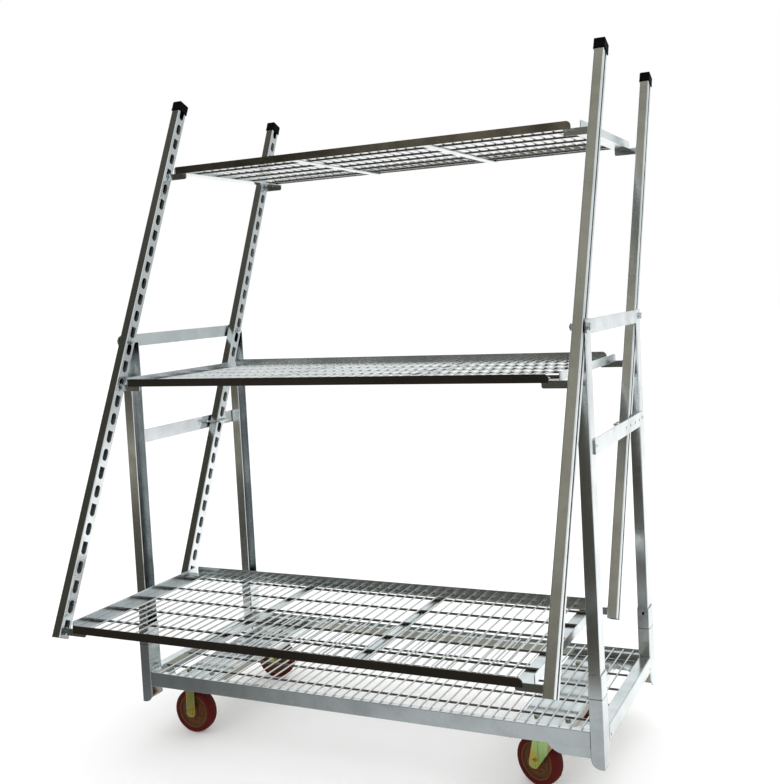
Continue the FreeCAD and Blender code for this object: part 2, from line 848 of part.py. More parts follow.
def shelf_place(number):
    """Where a shelf's top front edge goes, so that its tongues lie in the chosen slots."""
    slot = slot_places[round(shelf_slot_shares[number] * (len(slot_places) - 1))]
    along = slot - tongue_below_slot
    y = front_pivot_y + along * math.sin(lean) - level_half_depth
    return Vector(0, y, pivot_z + along * math.cos(lean) + tongue_below_rail_top)


# Casters, drawn with the wheel's axle along Y and the swivel or plate middle on the Z axis


def turned(points):
    """A solid turned about the axle from a half outline of (radius, along the axle) points."""
    outline = [Vector(radius, along, 0) for radius, along in points]
    return Part.Face(Part.makePolygon(outline + outline[:1])).revolve(middle, rear, 360)


def wheel_core():
    """Moulded wheel centre: hub, stepped web and rim."""
    bore = axle_radius + running_clearance
    hub = hub_diameter / 2
    step = core_step_diameter / 2
    rim = core_radius - core_rim_thickness
    half_widths = (hub_width / 2, core_step_width / 2, core_web_thickness / 2, core_rim_width / 2)
    hub_half, step_half, web_half, rim_half = half_widths
    near = [
        (bore, hub_half), (hub, hub_half), (hub, step_half), (step, step_half),
        (step, web_half), (rim, web_half), (rim, rim_half), (core_radius, rim_half),
    ]
    far = [(radius, -along) for radius, along in reversed(near)]
    return turned(near + far)


def tyre():
    inner = core_radius + running_clearance
    ring = Part.makeCylinder(wheel_radius, tyre_width, Vector(0, -tyre_width / 2, 0), rear)
    ring = ring.makeFillet(tyre_shoulder, [e for e in ring.Edges if len(e.Vertexes) == 1])
    start = Vector(0, -tyre_width / 2 - cut_overrun, 0)
    return ring.cut(rod(inner, start, start + rear * (tyre_width + 2 * cut_overrun)))


def fork_half_gap():
    return hub_width / 2 + fork_side_gap


def axle():
    """Axle with a head and a nut outside the fork's legs."""
    half = fork_half_gap() + fork_wall
    shank = rod(axle_radius, Vector(0, -half, 0), Vector(0, half, 0))
    heads = []
    for side in (-1, 1):
        seat = Vector(0, side * half, 0)
        heads.append(hexagon(axle_head_across_flats, seat, rear * (side * axle_head_height)))
    return shank.fuse(heads)


def leg_pair(outline_face):
    """Two legs from one outline drawn in the XZ plane, with the axle's hole."""
    half = fork_half_gap()
    leg = outline_face.extrude(rear * fork_wall)
    legs = []
    for y in (half, -half - fork_wall):
        copy = leg.copy()
        copy.translate(rear * y)
        legs.append(copy)
    return legs


def axle_hole(x):
    reach = fork_half_gap() + fork_wall + cut_overrun
    start = Vector(x, -reach, wheel_radius)
    return rod(axle_radius + running_clearance, start, Vector(x, reach, wheel_radius))


def top_plate():
    half_x = top_plate_length / 2
    half_y = top_plate_width / 2
    plate = block((-half_x, -half_y, top_plate_bottom), (half_x, half_y, caster_height))
    return rounded(plate, top_plate_round, up)


def fixed_fork():
    """Fixed fork: a top plate with two straight straps."""
    half = fixed_leg_width / 2
    foot = Vector(0, 0, wheel_radius)
    edges = [
        Part.LineSegment(Vector(half, 0, top_plate_bottom), Vector(half, 0, wheel_radius)).toShape(),
        Part.Arc(foot + right * half, foot - up * half, foot - right * half).toShape(),
        Part.LineSegment(Vector(-half, 0, wheel_radius), Vector(-half, 0, top_plate_bottom)).toShape(),
        Part.LineSegment(Vector(-half, 0, top_plate_bottom), Vector(half, 0, top_plate_bottom)).toShape(),
    ]
    legs = leg_pair(Part.Face(Part.Wire(edges)))
    return top_plate().fuse(legs).removeSplitter().cut(axle_hole(0))


def swivel_plate():
    """Top plate of a swivel caster with its ball race under it."""
    neck_bottom = crown_top + turning_gap
    neck = rod(race_neck_diameter / 2, Vector(0, 0, neck_bottom), Vector(0, 0, top_plate_bottom))
    rim_bottom = top_plate_bottom - race_rim_height
    rim = rod(race_diameter / 2, Vector(0, 0, rim_bottom), Vector(0, 0, top_plate_bottom))
    low_edges = [edge for edge in rim.Edges if edge.BoundBox.ZMax < rim_bottom + race_rim_height / 2]
    rim = rim.makeFillet(race_rim_height / 3, low_edges)
    plate = top_plate().fuse([neck, rim]).removeSplitter()
    overrun = up * cut_overrun
    bore = rod(
        kingpin_radius + running_clearance,
        Vector(0, 0, crown_bottom) - overrun,
        Vector(0, 0, caster_height) + overrun,
    )
    return plate.cut(bore)


def swivel_fork():
    """Swivel fork: crown, kingpin and two tapering legs that trail behind the swivel."""
    top_half = swivel_leg_top_width / 2
    foot_radius = swivel_leg_foot_width / 2
    foot = Vector(-swivel_trail, 0, wheel_radius)
    corners = [Vector(-top_half, 0, crown_top), Vector(top_half, 0, crown_top)]
    skirt = [corner - up * swivel_skirt_height for corner in corners]
    points = []
    for corner, side in zip(skirt, (-1, 1)):
        span = foot - corner
        angle = math.atan2(span.z, span.x) + side * math.asin(foot_radius / span.Length)
        length = math.sqrt(span.Length ** 2 - foot_radius ** 2)
        points.append(corner + Vector(math.cos(angle), 0, math.sin(angle)) * length)
    edges = [
        Part.LineSegment(skirt[0], points[0]).toShape(),
        Part.Arc(points[0], foot - up * foot_radius, points[1]).toShape(),
        Part.LineSegment(points[1], skirt[1]).toShape(),
        Part.LineSegment(skirt[1], corners[1]).toShape(),
        Part.LineSegment(corners[1], corners[0]).toShape(),
        Part.LineSegment(corners[0], skirt[0]).toShape(),
    ]
    legs = leg_pair(Part.Face(Part.Wire(edges)))
    reach = fork_half_gap()
    crown = block((-top_half, -reach, crown_bottom), (top_half, reach, crown_top))
    kingpin = rod(kingpin_radius, Vector(0, 0, crown_bottom), Vector(0, 0, caster_height))
    return crown.fuse(legs + [kingpin]).removeSplitter().cut(axle_hole(-swivel_trail))


def caster_bolt(place):
    """Bolt through the mount plate and the caster's plate, with its nut."""
    head_seat = Vector(place.x, place.y, mount_plate_top)
    nut_seat = Vector(place.x, place.y, top_plate_bottom)
    head = hexagon(caster_bolt_across_flats, head_seat, up * caster_bolt_head_height)
    nut = hexagon(caster_bolt_across_flats, nut_seat, up * -caster_bolt_head_height)
    return head.fuse([nut, rod(caster_bolt_diameter / 2, nut_seat, head_seat)])


def swung(shape, swing, side_y):
    """A swivelling piece turned to its resting swing and moved under its corner."""
    shape = shape.copy()
    shape.rotate(middle, up, swing)
    shape.translate(Vector(swivel_caster_x, side_y * caster_y, 0))
    return shape


def moved(shape, place):
    shape = shape.copy()
    shape.translate(place)
    return shape


# Names of sides, front and rear places and resting swings
sides = (("right", lambda shape: shape), ("left", lambda shape: mirrored(shape, right)))
rows = (("front", -1, front_pivot_y), ("rear", 1, rear_pivot_y))
swings = (("front", -1, front_swivel_swing), ("rear", 1, rear_swivel_swing))


def save_base():
    corner = corner_post()
    for row, side_y, _ in rows:
        post = corner if side_y > 0 else mirrored(corner, rear)
        save(f"{row}_corner_posts", both_ends(post))
    rail = long_rail()
    save("base_rear_rail", [rail])
    save("base_front_rail", [mirrored(rail, rear)])
    save("base_end_rails", both_ends(end_rail()))
    save("mount_plates", [mount_plate(fixed_caster_x), mount_plate(swivel_caster_x)])
    save("base_deck", [base_deck()])
    save("post_sleeves", four_corners(sleeve()))


def save_uprights():
    for row, side_y, pivot_y in rows:
        shape = upright(side_y, pivot_y)
        for side, handed in sides:
            save(f"{row}_{side}_upright", [handed(shape)])
    for side, handed in sides:
        save(f"{side}_upper_bar", [handed(upper_bar())])
        save(f"{side}_lower_bar", [handed(lower_bar())])
    rivets = [rivet(place) for place in rivet_places()]
    save("bar_rivets", rivets + [mirrored(piece, right) for piece in rivets])
    bolts = [pivot_bolt(pivot_y) for _, _, pivot_y in rows]
    save("pivot_bolts", bolts + [mirrored(piece, right) for piece in bolts])
    nuts = [pivot_nut(pivot_y) for _, _, pivot_y in rows]
    save("pivot_nuts", nuts + [mirrored(piece, right) for piece in nuts])


def save_posts():
    post = slotted_post()
    cap = post_cap()
    tube = bush()
    for row, _, pivot_y in rows:
        for side, handed in sides:
            save(f"{row}_{side}_post", [handed(leaned(post, pivot_y))])
        save(f"{row}_post_caps", both_ends(leaned(cap, pivot_y)))
        save(f"{row}_pivot_bushes", both_ends(leaned(tube, pivot_y)))
    for side, handed in sides:
        save(f"{side}_locking_pin", [handed(locking_pin())])


def save_shelves():
    pieces = {
        "front_rail": [shelf_front_rail()],
        "rear_rail": [shelf_rear_rail()],
        "end_rails": both_ends(shelf_end_rail()),
        "deck": [shelf_deck()],
        "straps": both_ends(shelf_strap()),
    }
    for number, level in enumerate(("bottom", "middle", "top")):
        place = shelf_place(number)
        for name, shapes in pieces.items():
            save(f"{level}_shelf_{name}", [moved(shape, place) for shape in shapes])


def save_casters():
    raised = Vector(0, 0, wheel_radius)
    core = moved(wheel_core(), raised)
    ring = moved(tyre(), raised)
    pin = moved(axle(), raised)
    trail = Vector(-swivel_trail, 0, 0)
    plates = []
    bolts = []
    forks = []
    axles = []
    for row, side_y, swing in swings:
        under_fixed = Vector(fixed_caster_x, side_y * caster_y, 0)
        forks.append(moved(fixed_fork(), under_fixed))
        axles.append(moved(pin, under_fixed))
        save(f"{row}_fixed_wheel_core", [moved(core, under_fixed)])
        save(f"{row}_fixed_tyre", [moved(ring, under_fixed)])
        save(f"{row}_swivel_fork", [swung(swivel_fork(), swing, side_y)])
        save(f"{row}_swivel_axle", [swung(moved(pin, trail), swing, side_y)])
        save(f"{row}_swivel_wheel_core", [swung(moved(core, trail), swing, side_y)])
        save(f"{row}_swivel_tyre", [swung(moved(ring, trail), swing, side_y)])
        plates.append(moved(swivel_plate(), Vector(swivel_caster_x, side_y * caster_y, 0)))
        for caster_x in (fixed_caster_x, swivel_caster_x):
            for place in caster_holes(caster_x):
                bolts.append(caster_bolt(Vector(place.x, side_y * place.y, place.z)))
    drilled_forks = [drilled(forks[1], fixed_caster_x)]
    drilled_forks.append(mirrored(drilled_forks[0], rear))
    save("fixed_forks", drilled_forks)
    drilled_plates = [drilled(plates[1], swivel_caster_x)]
    drilled_plates.append(mirrored(drilled_plates[0], rear))
    save("swivel_plates", drilled_plates)
    save("fixed_axles", axles)
    save("caster_bolts", bolts)


save_base()
save_uprights()
save_posts()
save_shelves()
save_casters()
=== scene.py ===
import json
import math

import bmesh
import bpy
from bpy.props import FloatProperty, FloatVectorProperty, IntProperty, PointerProperty
from mathutils import Matrix, Vector


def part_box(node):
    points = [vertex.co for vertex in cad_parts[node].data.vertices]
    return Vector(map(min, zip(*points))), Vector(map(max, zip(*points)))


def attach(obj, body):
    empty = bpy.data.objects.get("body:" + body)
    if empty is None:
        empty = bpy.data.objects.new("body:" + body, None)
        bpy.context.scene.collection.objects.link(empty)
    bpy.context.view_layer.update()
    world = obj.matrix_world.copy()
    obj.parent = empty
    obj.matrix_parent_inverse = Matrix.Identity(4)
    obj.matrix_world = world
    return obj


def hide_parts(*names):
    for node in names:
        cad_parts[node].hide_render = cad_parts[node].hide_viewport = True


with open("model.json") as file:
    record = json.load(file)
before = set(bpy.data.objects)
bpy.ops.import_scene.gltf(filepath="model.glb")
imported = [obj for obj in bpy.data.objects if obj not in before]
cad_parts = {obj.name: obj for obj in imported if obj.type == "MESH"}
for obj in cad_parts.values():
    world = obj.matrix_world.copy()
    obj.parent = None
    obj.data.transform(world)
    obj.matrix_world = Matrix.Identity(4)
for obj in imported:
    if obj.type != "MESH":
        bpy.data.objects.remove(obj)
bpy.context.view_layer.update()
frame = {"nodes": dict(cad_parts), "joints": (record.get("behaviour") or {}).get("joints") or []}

bl_info = {
    "name": "Shelf cart",
    "version": (1, 0, 0),
    "blender": (4, 5, 0),
    "location": "3D View > Sidebar > Shelf cart",
    "description": "Finishes, fittings and studio stage of a leaning display cart",
    "category": "Object",
}

TURN = 2 * math.pi
MM = 0.001
TOUCH = 0.01 * MM


def colour(name, description, default):
    return FloatVectorProperty(
        name=name, description=description, subtype="COLOR", size=3, min=0, max=1, default=default
    )


def length(name, description, default):
    return FloatProperty(name=name, description=description, unit="LENGTH", min=0, default=default)


def factor(name, description, default):
    return FloatProperty(name=name, description=description, subtype="FACTOR", min=0, default=default)


def wattage(name, description, default):
    return FloatProperty(name=name, description=description, unit="POWER", min=0, default=default)


class CartFinishes(bpy.types.PropertyGroup):
    """Colours of the cart's finishes."""

    zinc: colour("Zinc", "Bright zinc plating on sheet and tube", (0.75, 0.79, 0.80))
    zinc_bloom: colour("Zinc bloom", "Duller patches of the plating", (0.62, 0.655, 0.66))
    wire: colour("Wire", "Plating of the decks' cross wires", (0.74, 0.76, 0.75))
    # Painted shade on the sides of the decks' long wires, darker than the cross wires
    shaded_long_wire: colour("Long wire", "Darker drawn skin of the decks' long wires", (0.20, 0.19, 0.18))
    # Painted shade on the shelves' front rails, darker than the other zinc, with less of it on the top rail
    shaded_rail_face: colour("Rail face", "Darker plating of the shelves' front rails", (0.250, 0.230, 0.215))
    shaded_rail_bloom: colour("Rail bloom", "Duller patches of the front rails", (0.185, 0.165, 0.155))
    shaded_top_rail: colour("Top rail", "Lighter plating of the top shelf's front rail", (0.60, 0.57, 0.51))
    bolt: colour("Bolt", "Plating of the pivot bolts and rivets", (0.70, 0.73, 0.74))
    weld: colour("Weld", "Weld metal under thin plating", (0.52, 0.53, 0.53))
    seam: colour("Seam", "Grime in the joint lines of the sleeves", (0.06, 0.058, 0.055))
    seam_bloom: colour("Seam bloom", "Lighter patches of that grime", (0.09, 0.085, 0.08))
    yellow_zinc: colour("Yellow zinc", "Yellow passivated caster forks", (0.86, 0.70, 0.20))
    # The green and red sheens are partly the passivation's own colours and partly painted reflection
    yellow_sheen: colour("Yellow sheen", "Greenish bloom of the passivation", (0.42, 0.74, 0.30))
    red_sheen: colour("Red sheen", "Reddish bands of the passivation", (0.44, 0.20, 0.20))
    caster_bolt: colour("Caster bolt", "Dull yellow passivated bolts", (0.42, 0.38, 0.24))
    cap: colour("Cap", "Plastic of the post caps", (0.0025, 0.0025, 0.003))
    cap_scuff: colour("Cap scuff", "Scuffed patches of the caps", (0.006, 0.006, 0.0065))
    core: colour("Wheel core", "Brown moulded wheel centre", (0.105, 0.042, 0.017))
    core_scuff: colour("Core scuff", "Scuffed patches of the wheel centres", (0.06, 0.024, 0.011))
    tyre: colour("Tyre", "Dark red tread", (0.080, 0.0085, 0.007))
    tyre_scuff: colour("Tyre scuff", "Scuffed patches of the tread", (0.10, 0.018, 0.014))


class CartFittings(bpy.types.PropertyGroup):
    """Sizes of the fittings that are modelled in detail."""

    washer_rim: length("Washer rim", "How far a washer stands out past its hexagon", 1.2 * MM)
    washer_wall: length("Washer wall", "Thickness of a washer", 1.6 * MM)
    thread_pitch: length("Thread pitch", "Pitch of the pivot bolt's thread", 1.5 * MM)
    bead_radius: length("Bead radius", "Half width of a frame weld bead", 2.6 * MM)
    bead_step: length("Bead step", "Distance between the ripples of a weld bead", 2.4 * MM)
    wire_weld_radius: length("Wire weld radius", "Size of a weld spot under a deck wire", 3.2 * MM)
    wire_weld_inset: length("Wire weld inset", "Distance of a weld spot from the rail's edge", 6.0 * MM)
    deck_wire: length("Deck wire", "Thickness of a deck's cross wire", 4.5 * MM)
    rail_wall: length("Rail wall", "Sheet thickness of the base rails", 2.5 * MM)
    seam_height: length("Seam height", "Height of the joint line under a sleeve", 1.6 * MM)
    seam_depth: length("Seam depth", "How far the joint line reaches into the sleeve", 1.5 * MM)
    seam_proud: length("Seam proud", "How far the joint line stands out of the sleeve", 0.12 * MM)
    seam_corner: length("Seam corner", "Corner radius of the joint line", 4.0 * MM)
    cap_corner: length("Cap corner", "Corner radius of a post cap", 3.0 * MM)
    tyre_crown: length("Tyre crown", "How far the tread stands out at its middle", 1.2 * MM)
    tyre_fit: length("Tyre fit", "Gap between a tread and its wheel centre", 0.1 * MM)
    rib_half: length("Rib half", "Half width of a wheel centre's rib", 1.6 * MM)
    round_segments: IntProperty(
        name="Round segments", description="Sides of a turned piece", subtype="UNSIGNED", min=12, default=96
    )


class CartStage(bpy.types.PropertyGroup):
    """Sizes and levels of the studio."""

    floor_size: length("Floor size", "Side of the square floor", 60.0)
    floor_colour: colour("Floor", "Pale floor", (0.88, 0.88, 0.88))
    floor_lift: factor("Floor lift", "Glow that lifts the floor to white", 0.14)
    ambient: factor("Ambient", "Level of the even room light", 1.08)
    key_power: wattage("Key power", "Power of the main soft light", 40)
    rear_power: wattage("Rear power", "Power of the rear soft light", 20)
    card_tint: colour("Card tint", "Warm tint of the grey cards", (1.0, 0.93, 0.76))
    room_tint: colour("Room tint", "Cool tint of the room in reflections", (0.91, 0.945, 0.95))


# Shared finish effects, each a node group with named inputs and outputs


class Nodes:
    """Short hand for building a node tree."""

    def __init__(self, tree):
        self.tree = tree

    def add(self, kind, sockets=None, **settings):
        node = self.tree.nodes.new(kind)
        for name, value in settings.items():
            setattr(node, name, value)
        for name, value in (sockets or {}).items():
            self.feed(node.inputs[name], value)
        return node

    def feed(self, socket, value):
        if isinstance(value, bpy.types.NodeSocket):
            self.tree.links.new(value, socket)
        else:
            socket.default_value = value

    def math(self, operation, first, second=0.0):
        sockets = {0: first, 1: second}
        return self.add("ShaderNodeMath", sockets, operation=operation).outputs[0]

    def vector(self, operation, first, second):
        sockets = {0: first, 1: second}
        return self.add("ShaderNodeVectorMath", sockets, operation=operation).outputs

    def mix(self, share, first, second):
        sockets = {"Factor": share, "A": first, "B": second}
        return self.add("ShaderNodeMix", data_type="RGBA", sockets=sockets).outputs["Result"]

    def between(self, value, low, high):
        """A value moved from 0..1 to low..high."""
        sockets = {"Value": value, "To Min": low, "To Max": high}
        return self.add("ShaderNodeMapRange", sockets, clamp=True).outputs["Result"]

    def contrast(self, value, low, high):
        """A value moved softly from low..high to 0..1."""
        sockets = {"Value": value, "From Min": low, "From Max": high}
        node = self.add("ShaderNodeMapRange", sockets, clamp=True, interpolation_type="SMOOTHSTEP")
        return node.outputs["Result"]

    def noise(self, place, scale, detail=3.0, roughness=0.55):
        sockets = {"Vector": place, "Scale": scale, "Detail": detail, "Roughness": roughness}
        return self.add("ShaderNodeTexNoise", sockets).outputs["Fac"]

    def place(self):
        return self.add("ShaderNodeTexCoord").outputs["Object"]

    def geometry(self, output):
        return self.add("ShaderNodeNewGeometry").outputs[output]

    def parts(self, vector):
        return self.add("ShaderNodeSeparateXYZ", {"Vector": vector}).outputs


def opaque(rgb):
    return (*rgb, 1.0)


def effect(name, inputs, outputs):
    """An empty node group with the given sockets, its builder, its inputs and its output node."""
    group = bpy.data.node_groups.new(name, "ShaderNodeTree")
    for socket, kind, default in inputs:
        made = group.interface.new_socket(socket, in_out="INPUT", socket_type=kind)
        made.default_value = default
    for socket, kind in outputs:
        group.interface.new_socket(socket, in_out="OUTPUT", socket_type=kind)
    nodes = Nodes(group)
    start = nodes.add("NodeGroupInput").outputs
    end = nodes.add("NodeGroupOutput").inputs
    return group, nodes, start, end


FLOAT = "NodeSocketFloat"
COLOUR = "NodeSocketColor"
VECTOR = "NodeSocketVector"
WHITE = (1, 1, 1, 1)
STAIN = (0.30, 0.29, 0.27, 1)
BAND_STRETCH = (46.0, 46.0, 5.0)


def plating_effect():
    """Clouded plating: wide blooms, small spangle and drawn lines along one axis."""
    group, nodes, start, end = effect(
        "Plating",
        [("Bright", COLOUR, WHITE), ("Dull", COLOUR, (0, 0, 0, 1)), ("Line Scale", VECTOR, (1, 1, 1))],
        [("Color", COLOUR), ("Roughness", FLOAT), ("Height", FLOAT)],
    )
    place = nodes.place()
    bloom = nodes.contrast(nodes.noise(place, scale=9.0, detail=5.0), low=0.36, high=0.72)
    spangle = nodes.add("ShaderNodeTexVoronoi", {"Vector": place, "Scale": 210.0}).outputs["Color"]
    spangle = nodes.add("ShaderNodeSeparateColor", {"Color": spangle}).outputs["Red"]
    stretched = nodes.vector("MULTIPLY", place, start["Line Scale"])["Vector"]
    lines = nodes.noise(stretched, scale=1.0, detail=2.0)
    stain = nodes.contrast(nodes.noise(place, scale=34.0, detail=4.0, roughness=0.65), low=0.60, high=0.78)
    tint = nodes.mix(bloom, start["Bright"], start["Dull"])
    tint = nodes.mix(nodes.math("MULTIPLY", spangle, 0.10), tint, start["Dull"])
    tint = nodes.mix(nodes.math("MULTIPLY", stain, 0.05), tint, STAIN)
    nodes.feed(end["Color"], tint)
    cloudy = nodes.between(bloom, low=0.16, high=0.24)
    rough = nodes.math("ADD", cloudy, nodes.between(spangle, low=-0.015, high=0.02))
    nodes.feed(end["Roughness"], nodes.math("ADD", rough, nodes.between(lines, low=-0.03, high=0.03)))
    nodes.feed(end["Height"], lines)
    return group


def passivation_and_reflection_effect():
    """Yellow passivation with upright bands that turn green and red: partly the passivation's own colours,
    partly painted reflection.
    """
    group, nodes, start, end = effect(
        "Passivation and reflection",
        [("Yellow", COLOUR, (1, 1, 0, 1)), ("Green", COLOUR, (0, 1, 0, 1)), ("Red", COLOUR, (1, 0, 0, 1))],
        [("Color", COLOUR)],
    )
    upright = nodes.vector("MULTIPLY", nodes.place(), BAND_STRETCH)["Vector"]
    bands = nodes.noise(upright, scale=1.0, detail=2.0)
    green = nodes.contrast(bands, low=0.44, high=0.56)
    red = nodes.contrast(bands, low=0.60, high=0.70)
    tint = nodes.mix(green, start["Yellow"], start["Green"])
    nodes.feed(end["Color"], nodes.mix(red, tint, start["Red"]))
    return group


def edge_effect():
    """Softened sheet edges: a rounded normal and a mask of where an edge is worn bright."""
    group, nodes, start, end = effect(
        "Soft edges", [("Radius", FLOAT, 1.2 * MM)], [("Normal", VECTOR), ("Wear", FLOAT)]
    )
    soft = nodes.add("ShaderNodeBevel", {"Radius": start["Radius"]}, samples=6).outputs["Normal"]
    agree = nodes.vector("DOT_PRODUCT", soft, nodes.geometry("True Normal"))["Value"]
    edge = nodes.contrast(agree, low=0.99, high=0.80)
    broken = nodes.contrast(nodes.noise(nodes.place(), scale=60.0, detail=4.0), low=0.30, high=0.60)
    nodes.feed(end["Wear"], nodes.math("MULTIPLY", edge, broken))
    nodes.feed(end["Normal"], soft)
    return group


def openness_effect(name, reach, samples, low, high):
    """How open a place is within a reach, from 0 at low up to 1 at high."""
    group, nodes, start, end = effect(name, [("Reach", FLOAT, reach)], [("Open", FLOAT)])
    seen = nodes.add("ShaderNodeAmbientOcclusion", {"Distance": start["Reach"]}, samples=samples)
    nodes.feed(end["Open"], nodes.contrast(seen.outputs["AO"], low, high))
    return group


def hollow_effect():
    """Painted shade deep inside tubes, slots and folds."""
    return openness_effect("Hollows", reach=30.0 * MM, samples=16, low=0.10, high=0.62)


def crease_effect():
    """Painted shade in the narrow creases where two sheets meet."""
    return openness_effect("Creases", reach=6.0 * MM, samples=8, low=0.25, high=0.70)


def lengthwise_effect():
    """Mask of the round wires that run along the cart, from the way their sides face, where painted shade
    goes.
    """
    group, nodes, start, end = effect("Lengthwise", [("Softness", FLOAT, 0.15)], [("Mask", FLOAT)])
    facing = nodes.parts(nodes.geometry("True Normal"))
    along_y, along_x = (nodes.math("ABSOLUTE", facing[axis]) for axis in ("Y", "X"))
    sideways = nodes.math("SUBTRACT", along_y, along_x)
    nodes.feed(end["Mask"], nodes.contrast(sideways, 0.0, start["Softness"]))
    return group


def dust_effect():
    """Dust that settles on faces that look up."""
    group, nodes, start, end = effect("Settled dust", [("Amount", FLOAT, 0.3)], [("Mask", FLOAT)])
    height = nodes.parts(nodes.geometry("Normal"))["Z"]
    cloud = nodes.noise(nodes.place(), scale=22.0, detail=6.0, roughness=0.7)
    patches = nodes.contrast(cloud, low=0.35, high=0.75)
    upward = nodes.contrast(height, low=0.55, high=0.98)
    nodes.feed(end["Mask"], nodes.math("MULTIPLY", nodes.math("MULTIPLY", upward, patches), start["Amount"]))
    return group


def grain_effect():
    """Fine moulded grain and scuffs for plastic and rubber."""
    group, nodes, start, end = effect(
        "Moulded grain", [("Scale", FLOAT, 900.0)], [("Height", FLOAT), ("Scuff", FLOAT)]
    )
    place = nodes.place()
    nodes.feed(end["Height"], nodes.noise(place, start["Scale"]))
    scuffs = nodes.noise(place, scale=48.0, detail=6.0, roughness=0.7)
    nodes.feed(end["Scuff"], nodes.contrast(scuffs, low=0.50, high=0.74))
    return group


EFFECTS = {
    "plating": plating_effect,
    "passivation": passivation_and_reflection_effect,
    "edges": edge_effect,
    "hollows": hollow_effect,
    "creases": crease_effect,
    "lengthwise": lengthwise_effect,
    "dust": dust_effect,
    "grain": grain_effect,
}


def shared(key):
    """A shared effect's node group, built at its first use."""
    made = EFFECTS[key]
    if callable(made):
        made = made()
        EFFECTS[key] = made
    return made


def new_material(name):
    material = bpy.data.materials.new(name)
    material.use_nodes = True
    nodes = Nodes(material.node_tree)
    return material, nodes, material.node_tree.nodes["Principled BSDF"]


def place_effect(nodes, key, sockets):
    """Outputs of a shared effect that is placed in a material with its own values."""
    node = nodes.add("ShaderNodeGroup", node_tree=shared(key))
    for name, value in sockets.items():
        nodes.feed(node.inputs[name], value)
    return node.outputs


BARE_EDGE = (0.78, 0.78, 0.77, 1)
PALE_DUST = (0.42, 0.40, 0.36, 1)
BROWN_DUST = (0.30, 0.27, 0.24, 1)
CREASE_SHADE = (0.16, 0.155, 0.15, 1)
HOLLOW_SHADE = (0.030, 0.030, 0.038, 1)
LINE_DEPTH = 0.4 * MM
GRAIN_DEPTH = 0.3 * MM


def plated(
    name, bright, dull, line_scale, edge_radius,
    dust=0.12, bump=0.03, hollow=0.0, crease=0.0, long_wire_shade=None, bands=None,
):
    """A plated metal with blooms, lines, softened bright edges and a little dust, and where asked painted
    shade in creases, in hollows and on long wires and painted reflection in passivation bands.
    """
    material, nodes, shader = new_material(name)
    coat = {"Bright": opaque(bright), "Dull": opaque(dull), "Line Scale": line_scale}
    skin = place_effect(nodes, "plating", coat)
    edges = place_effect(nodes, "edges", {"Radius": edge_radius})
    dusty = place_effect(nodes, "dust", {"Amount": dust})["Mask"]
    base = skin["Color"]
    # Passivation bands, with painted reflection in their green and red
    if bands:
        coated = place_effect(nodes, "passivation", bands)["Color"]
        base = nodes.mix(0.25, coated, base)
    worn = nodes.mix(nodes.math("MULTIPLY", edges["Wear"], 0.6), base, BARE_EDGE)
    tint = nodes.mix(dusty, worn, PALE_DUST)
    if long_wire_shade:
        # Painted shade on the sides of the long wires
        lengthwise = place_effect(nodes, "lengthwise", {})["Mask"]
        tint = nodes.mix(lengthwise, tint, opaque(long_wire_shade))
    # Painted shade in creases, from how open each place is
    if crease:
        crease_open = place_effect(nodes, "creases", {"Reach": crease})["Open"]
        tint = nodes.mix(crease_open, CREASE_SHADE, tint)
    # Painted shade inside hollows, from how open each place is
    if hollow:
        open_share = place_effect(nodes, "hollows", {"Reach": hollow})["Open"]
        tint = nodes.mix(open_share, HOLLOW_SHADE, tint)
    nodes.feed(shader.inputs["Base Color"], tint)
    rough = nodes.math("SUBTRACT", skin["Roughness"], nodes.math("MULTIPLY", edges["Wear"], 0.10))
    nodes.feed(shader.inputs["Roughness"], nodes.math("ADD", rough, nodes.math("MULTIPLY", dusty, 0.35)))
    nodes.feed(shader.inputs["Metallic"], nodes.between(dusty, 1.0, 0.35))
    sockets = {"Strength": bump, "Distance": LINE_DEPTH, "Height": skin["Height"], "Normal": edges["Normal"]}
    raised = nodes.add("ShaderNodeBump", sockets)
    nodes.feed(shader.inputs["Normal"], raised.outputs["Normal"])
    return material


def moulded(name, base, scuffed, roughness, grain_scale, shine, dust=0.12):
    """Moulded plastic or rubber with fine grain, scuffs and dust."""
    material, nodes, shader = new_material(name)
    grain = place_effect(nodes, "grain", {"Scale": grain_scale})
    dusty = place_effect(nodes, "dust", {"Amount": dust})["Mask"]
    share = nodes.math("MULTIPLY", grain["Scuff"], 0.5)
    tint = nodes.mix(share, opaque(base), opaque(scuffed))
    nodes.feed(shader.inputs["Base Color"], nodes.mix(dusty, tint, BROWN_DUST))
    nodes.feed(shader.inputs["Roughness"], nodes.between(grain["Scuff"], roughness, roughness + 0.22))
    sockets = {"Strength": 0.12, "Distance": GRAIN_DEPTH, "Height": grain["Height"]}
    raised = nodes.add("ShaderNodeBump", sockets)
    nodes.feed(shader.inputs["Normal"], raised.outputs["Normal"])
    shader.inputs["Specular IOR Level"].default_value = shine
    return material


# Stretch of the drawn lines along one axis of a piece
ALONG_X = (3.0, 420.0, 420.0)
ALONG_Y = (420.0, 3.0, 420.0)
ALONG_Z = (420.0, 420.0, 3.0)
NO_GRAIN = (160.0, 160.0, 160.0)
# Radius of softened edges, by kind of stock
FLANGE_EDGE = 1.6 * MM
SHEET_EDGE = 1.4 * MM
FOLD_EDGE = 1.0 * MM
BOLT_EDGE = 0.8 * MM
WIRE_EDGE = 0.5 * MM
SEAM_EDGE = 0.4 * MM
# How far painted shade reaches out of creases and hollows
CREASE_REACH = 6.0 * MM
POST_REACH = 35.0 * MM
UPRIGHT_REACH = 60.0 * MM
FINISHES = {}


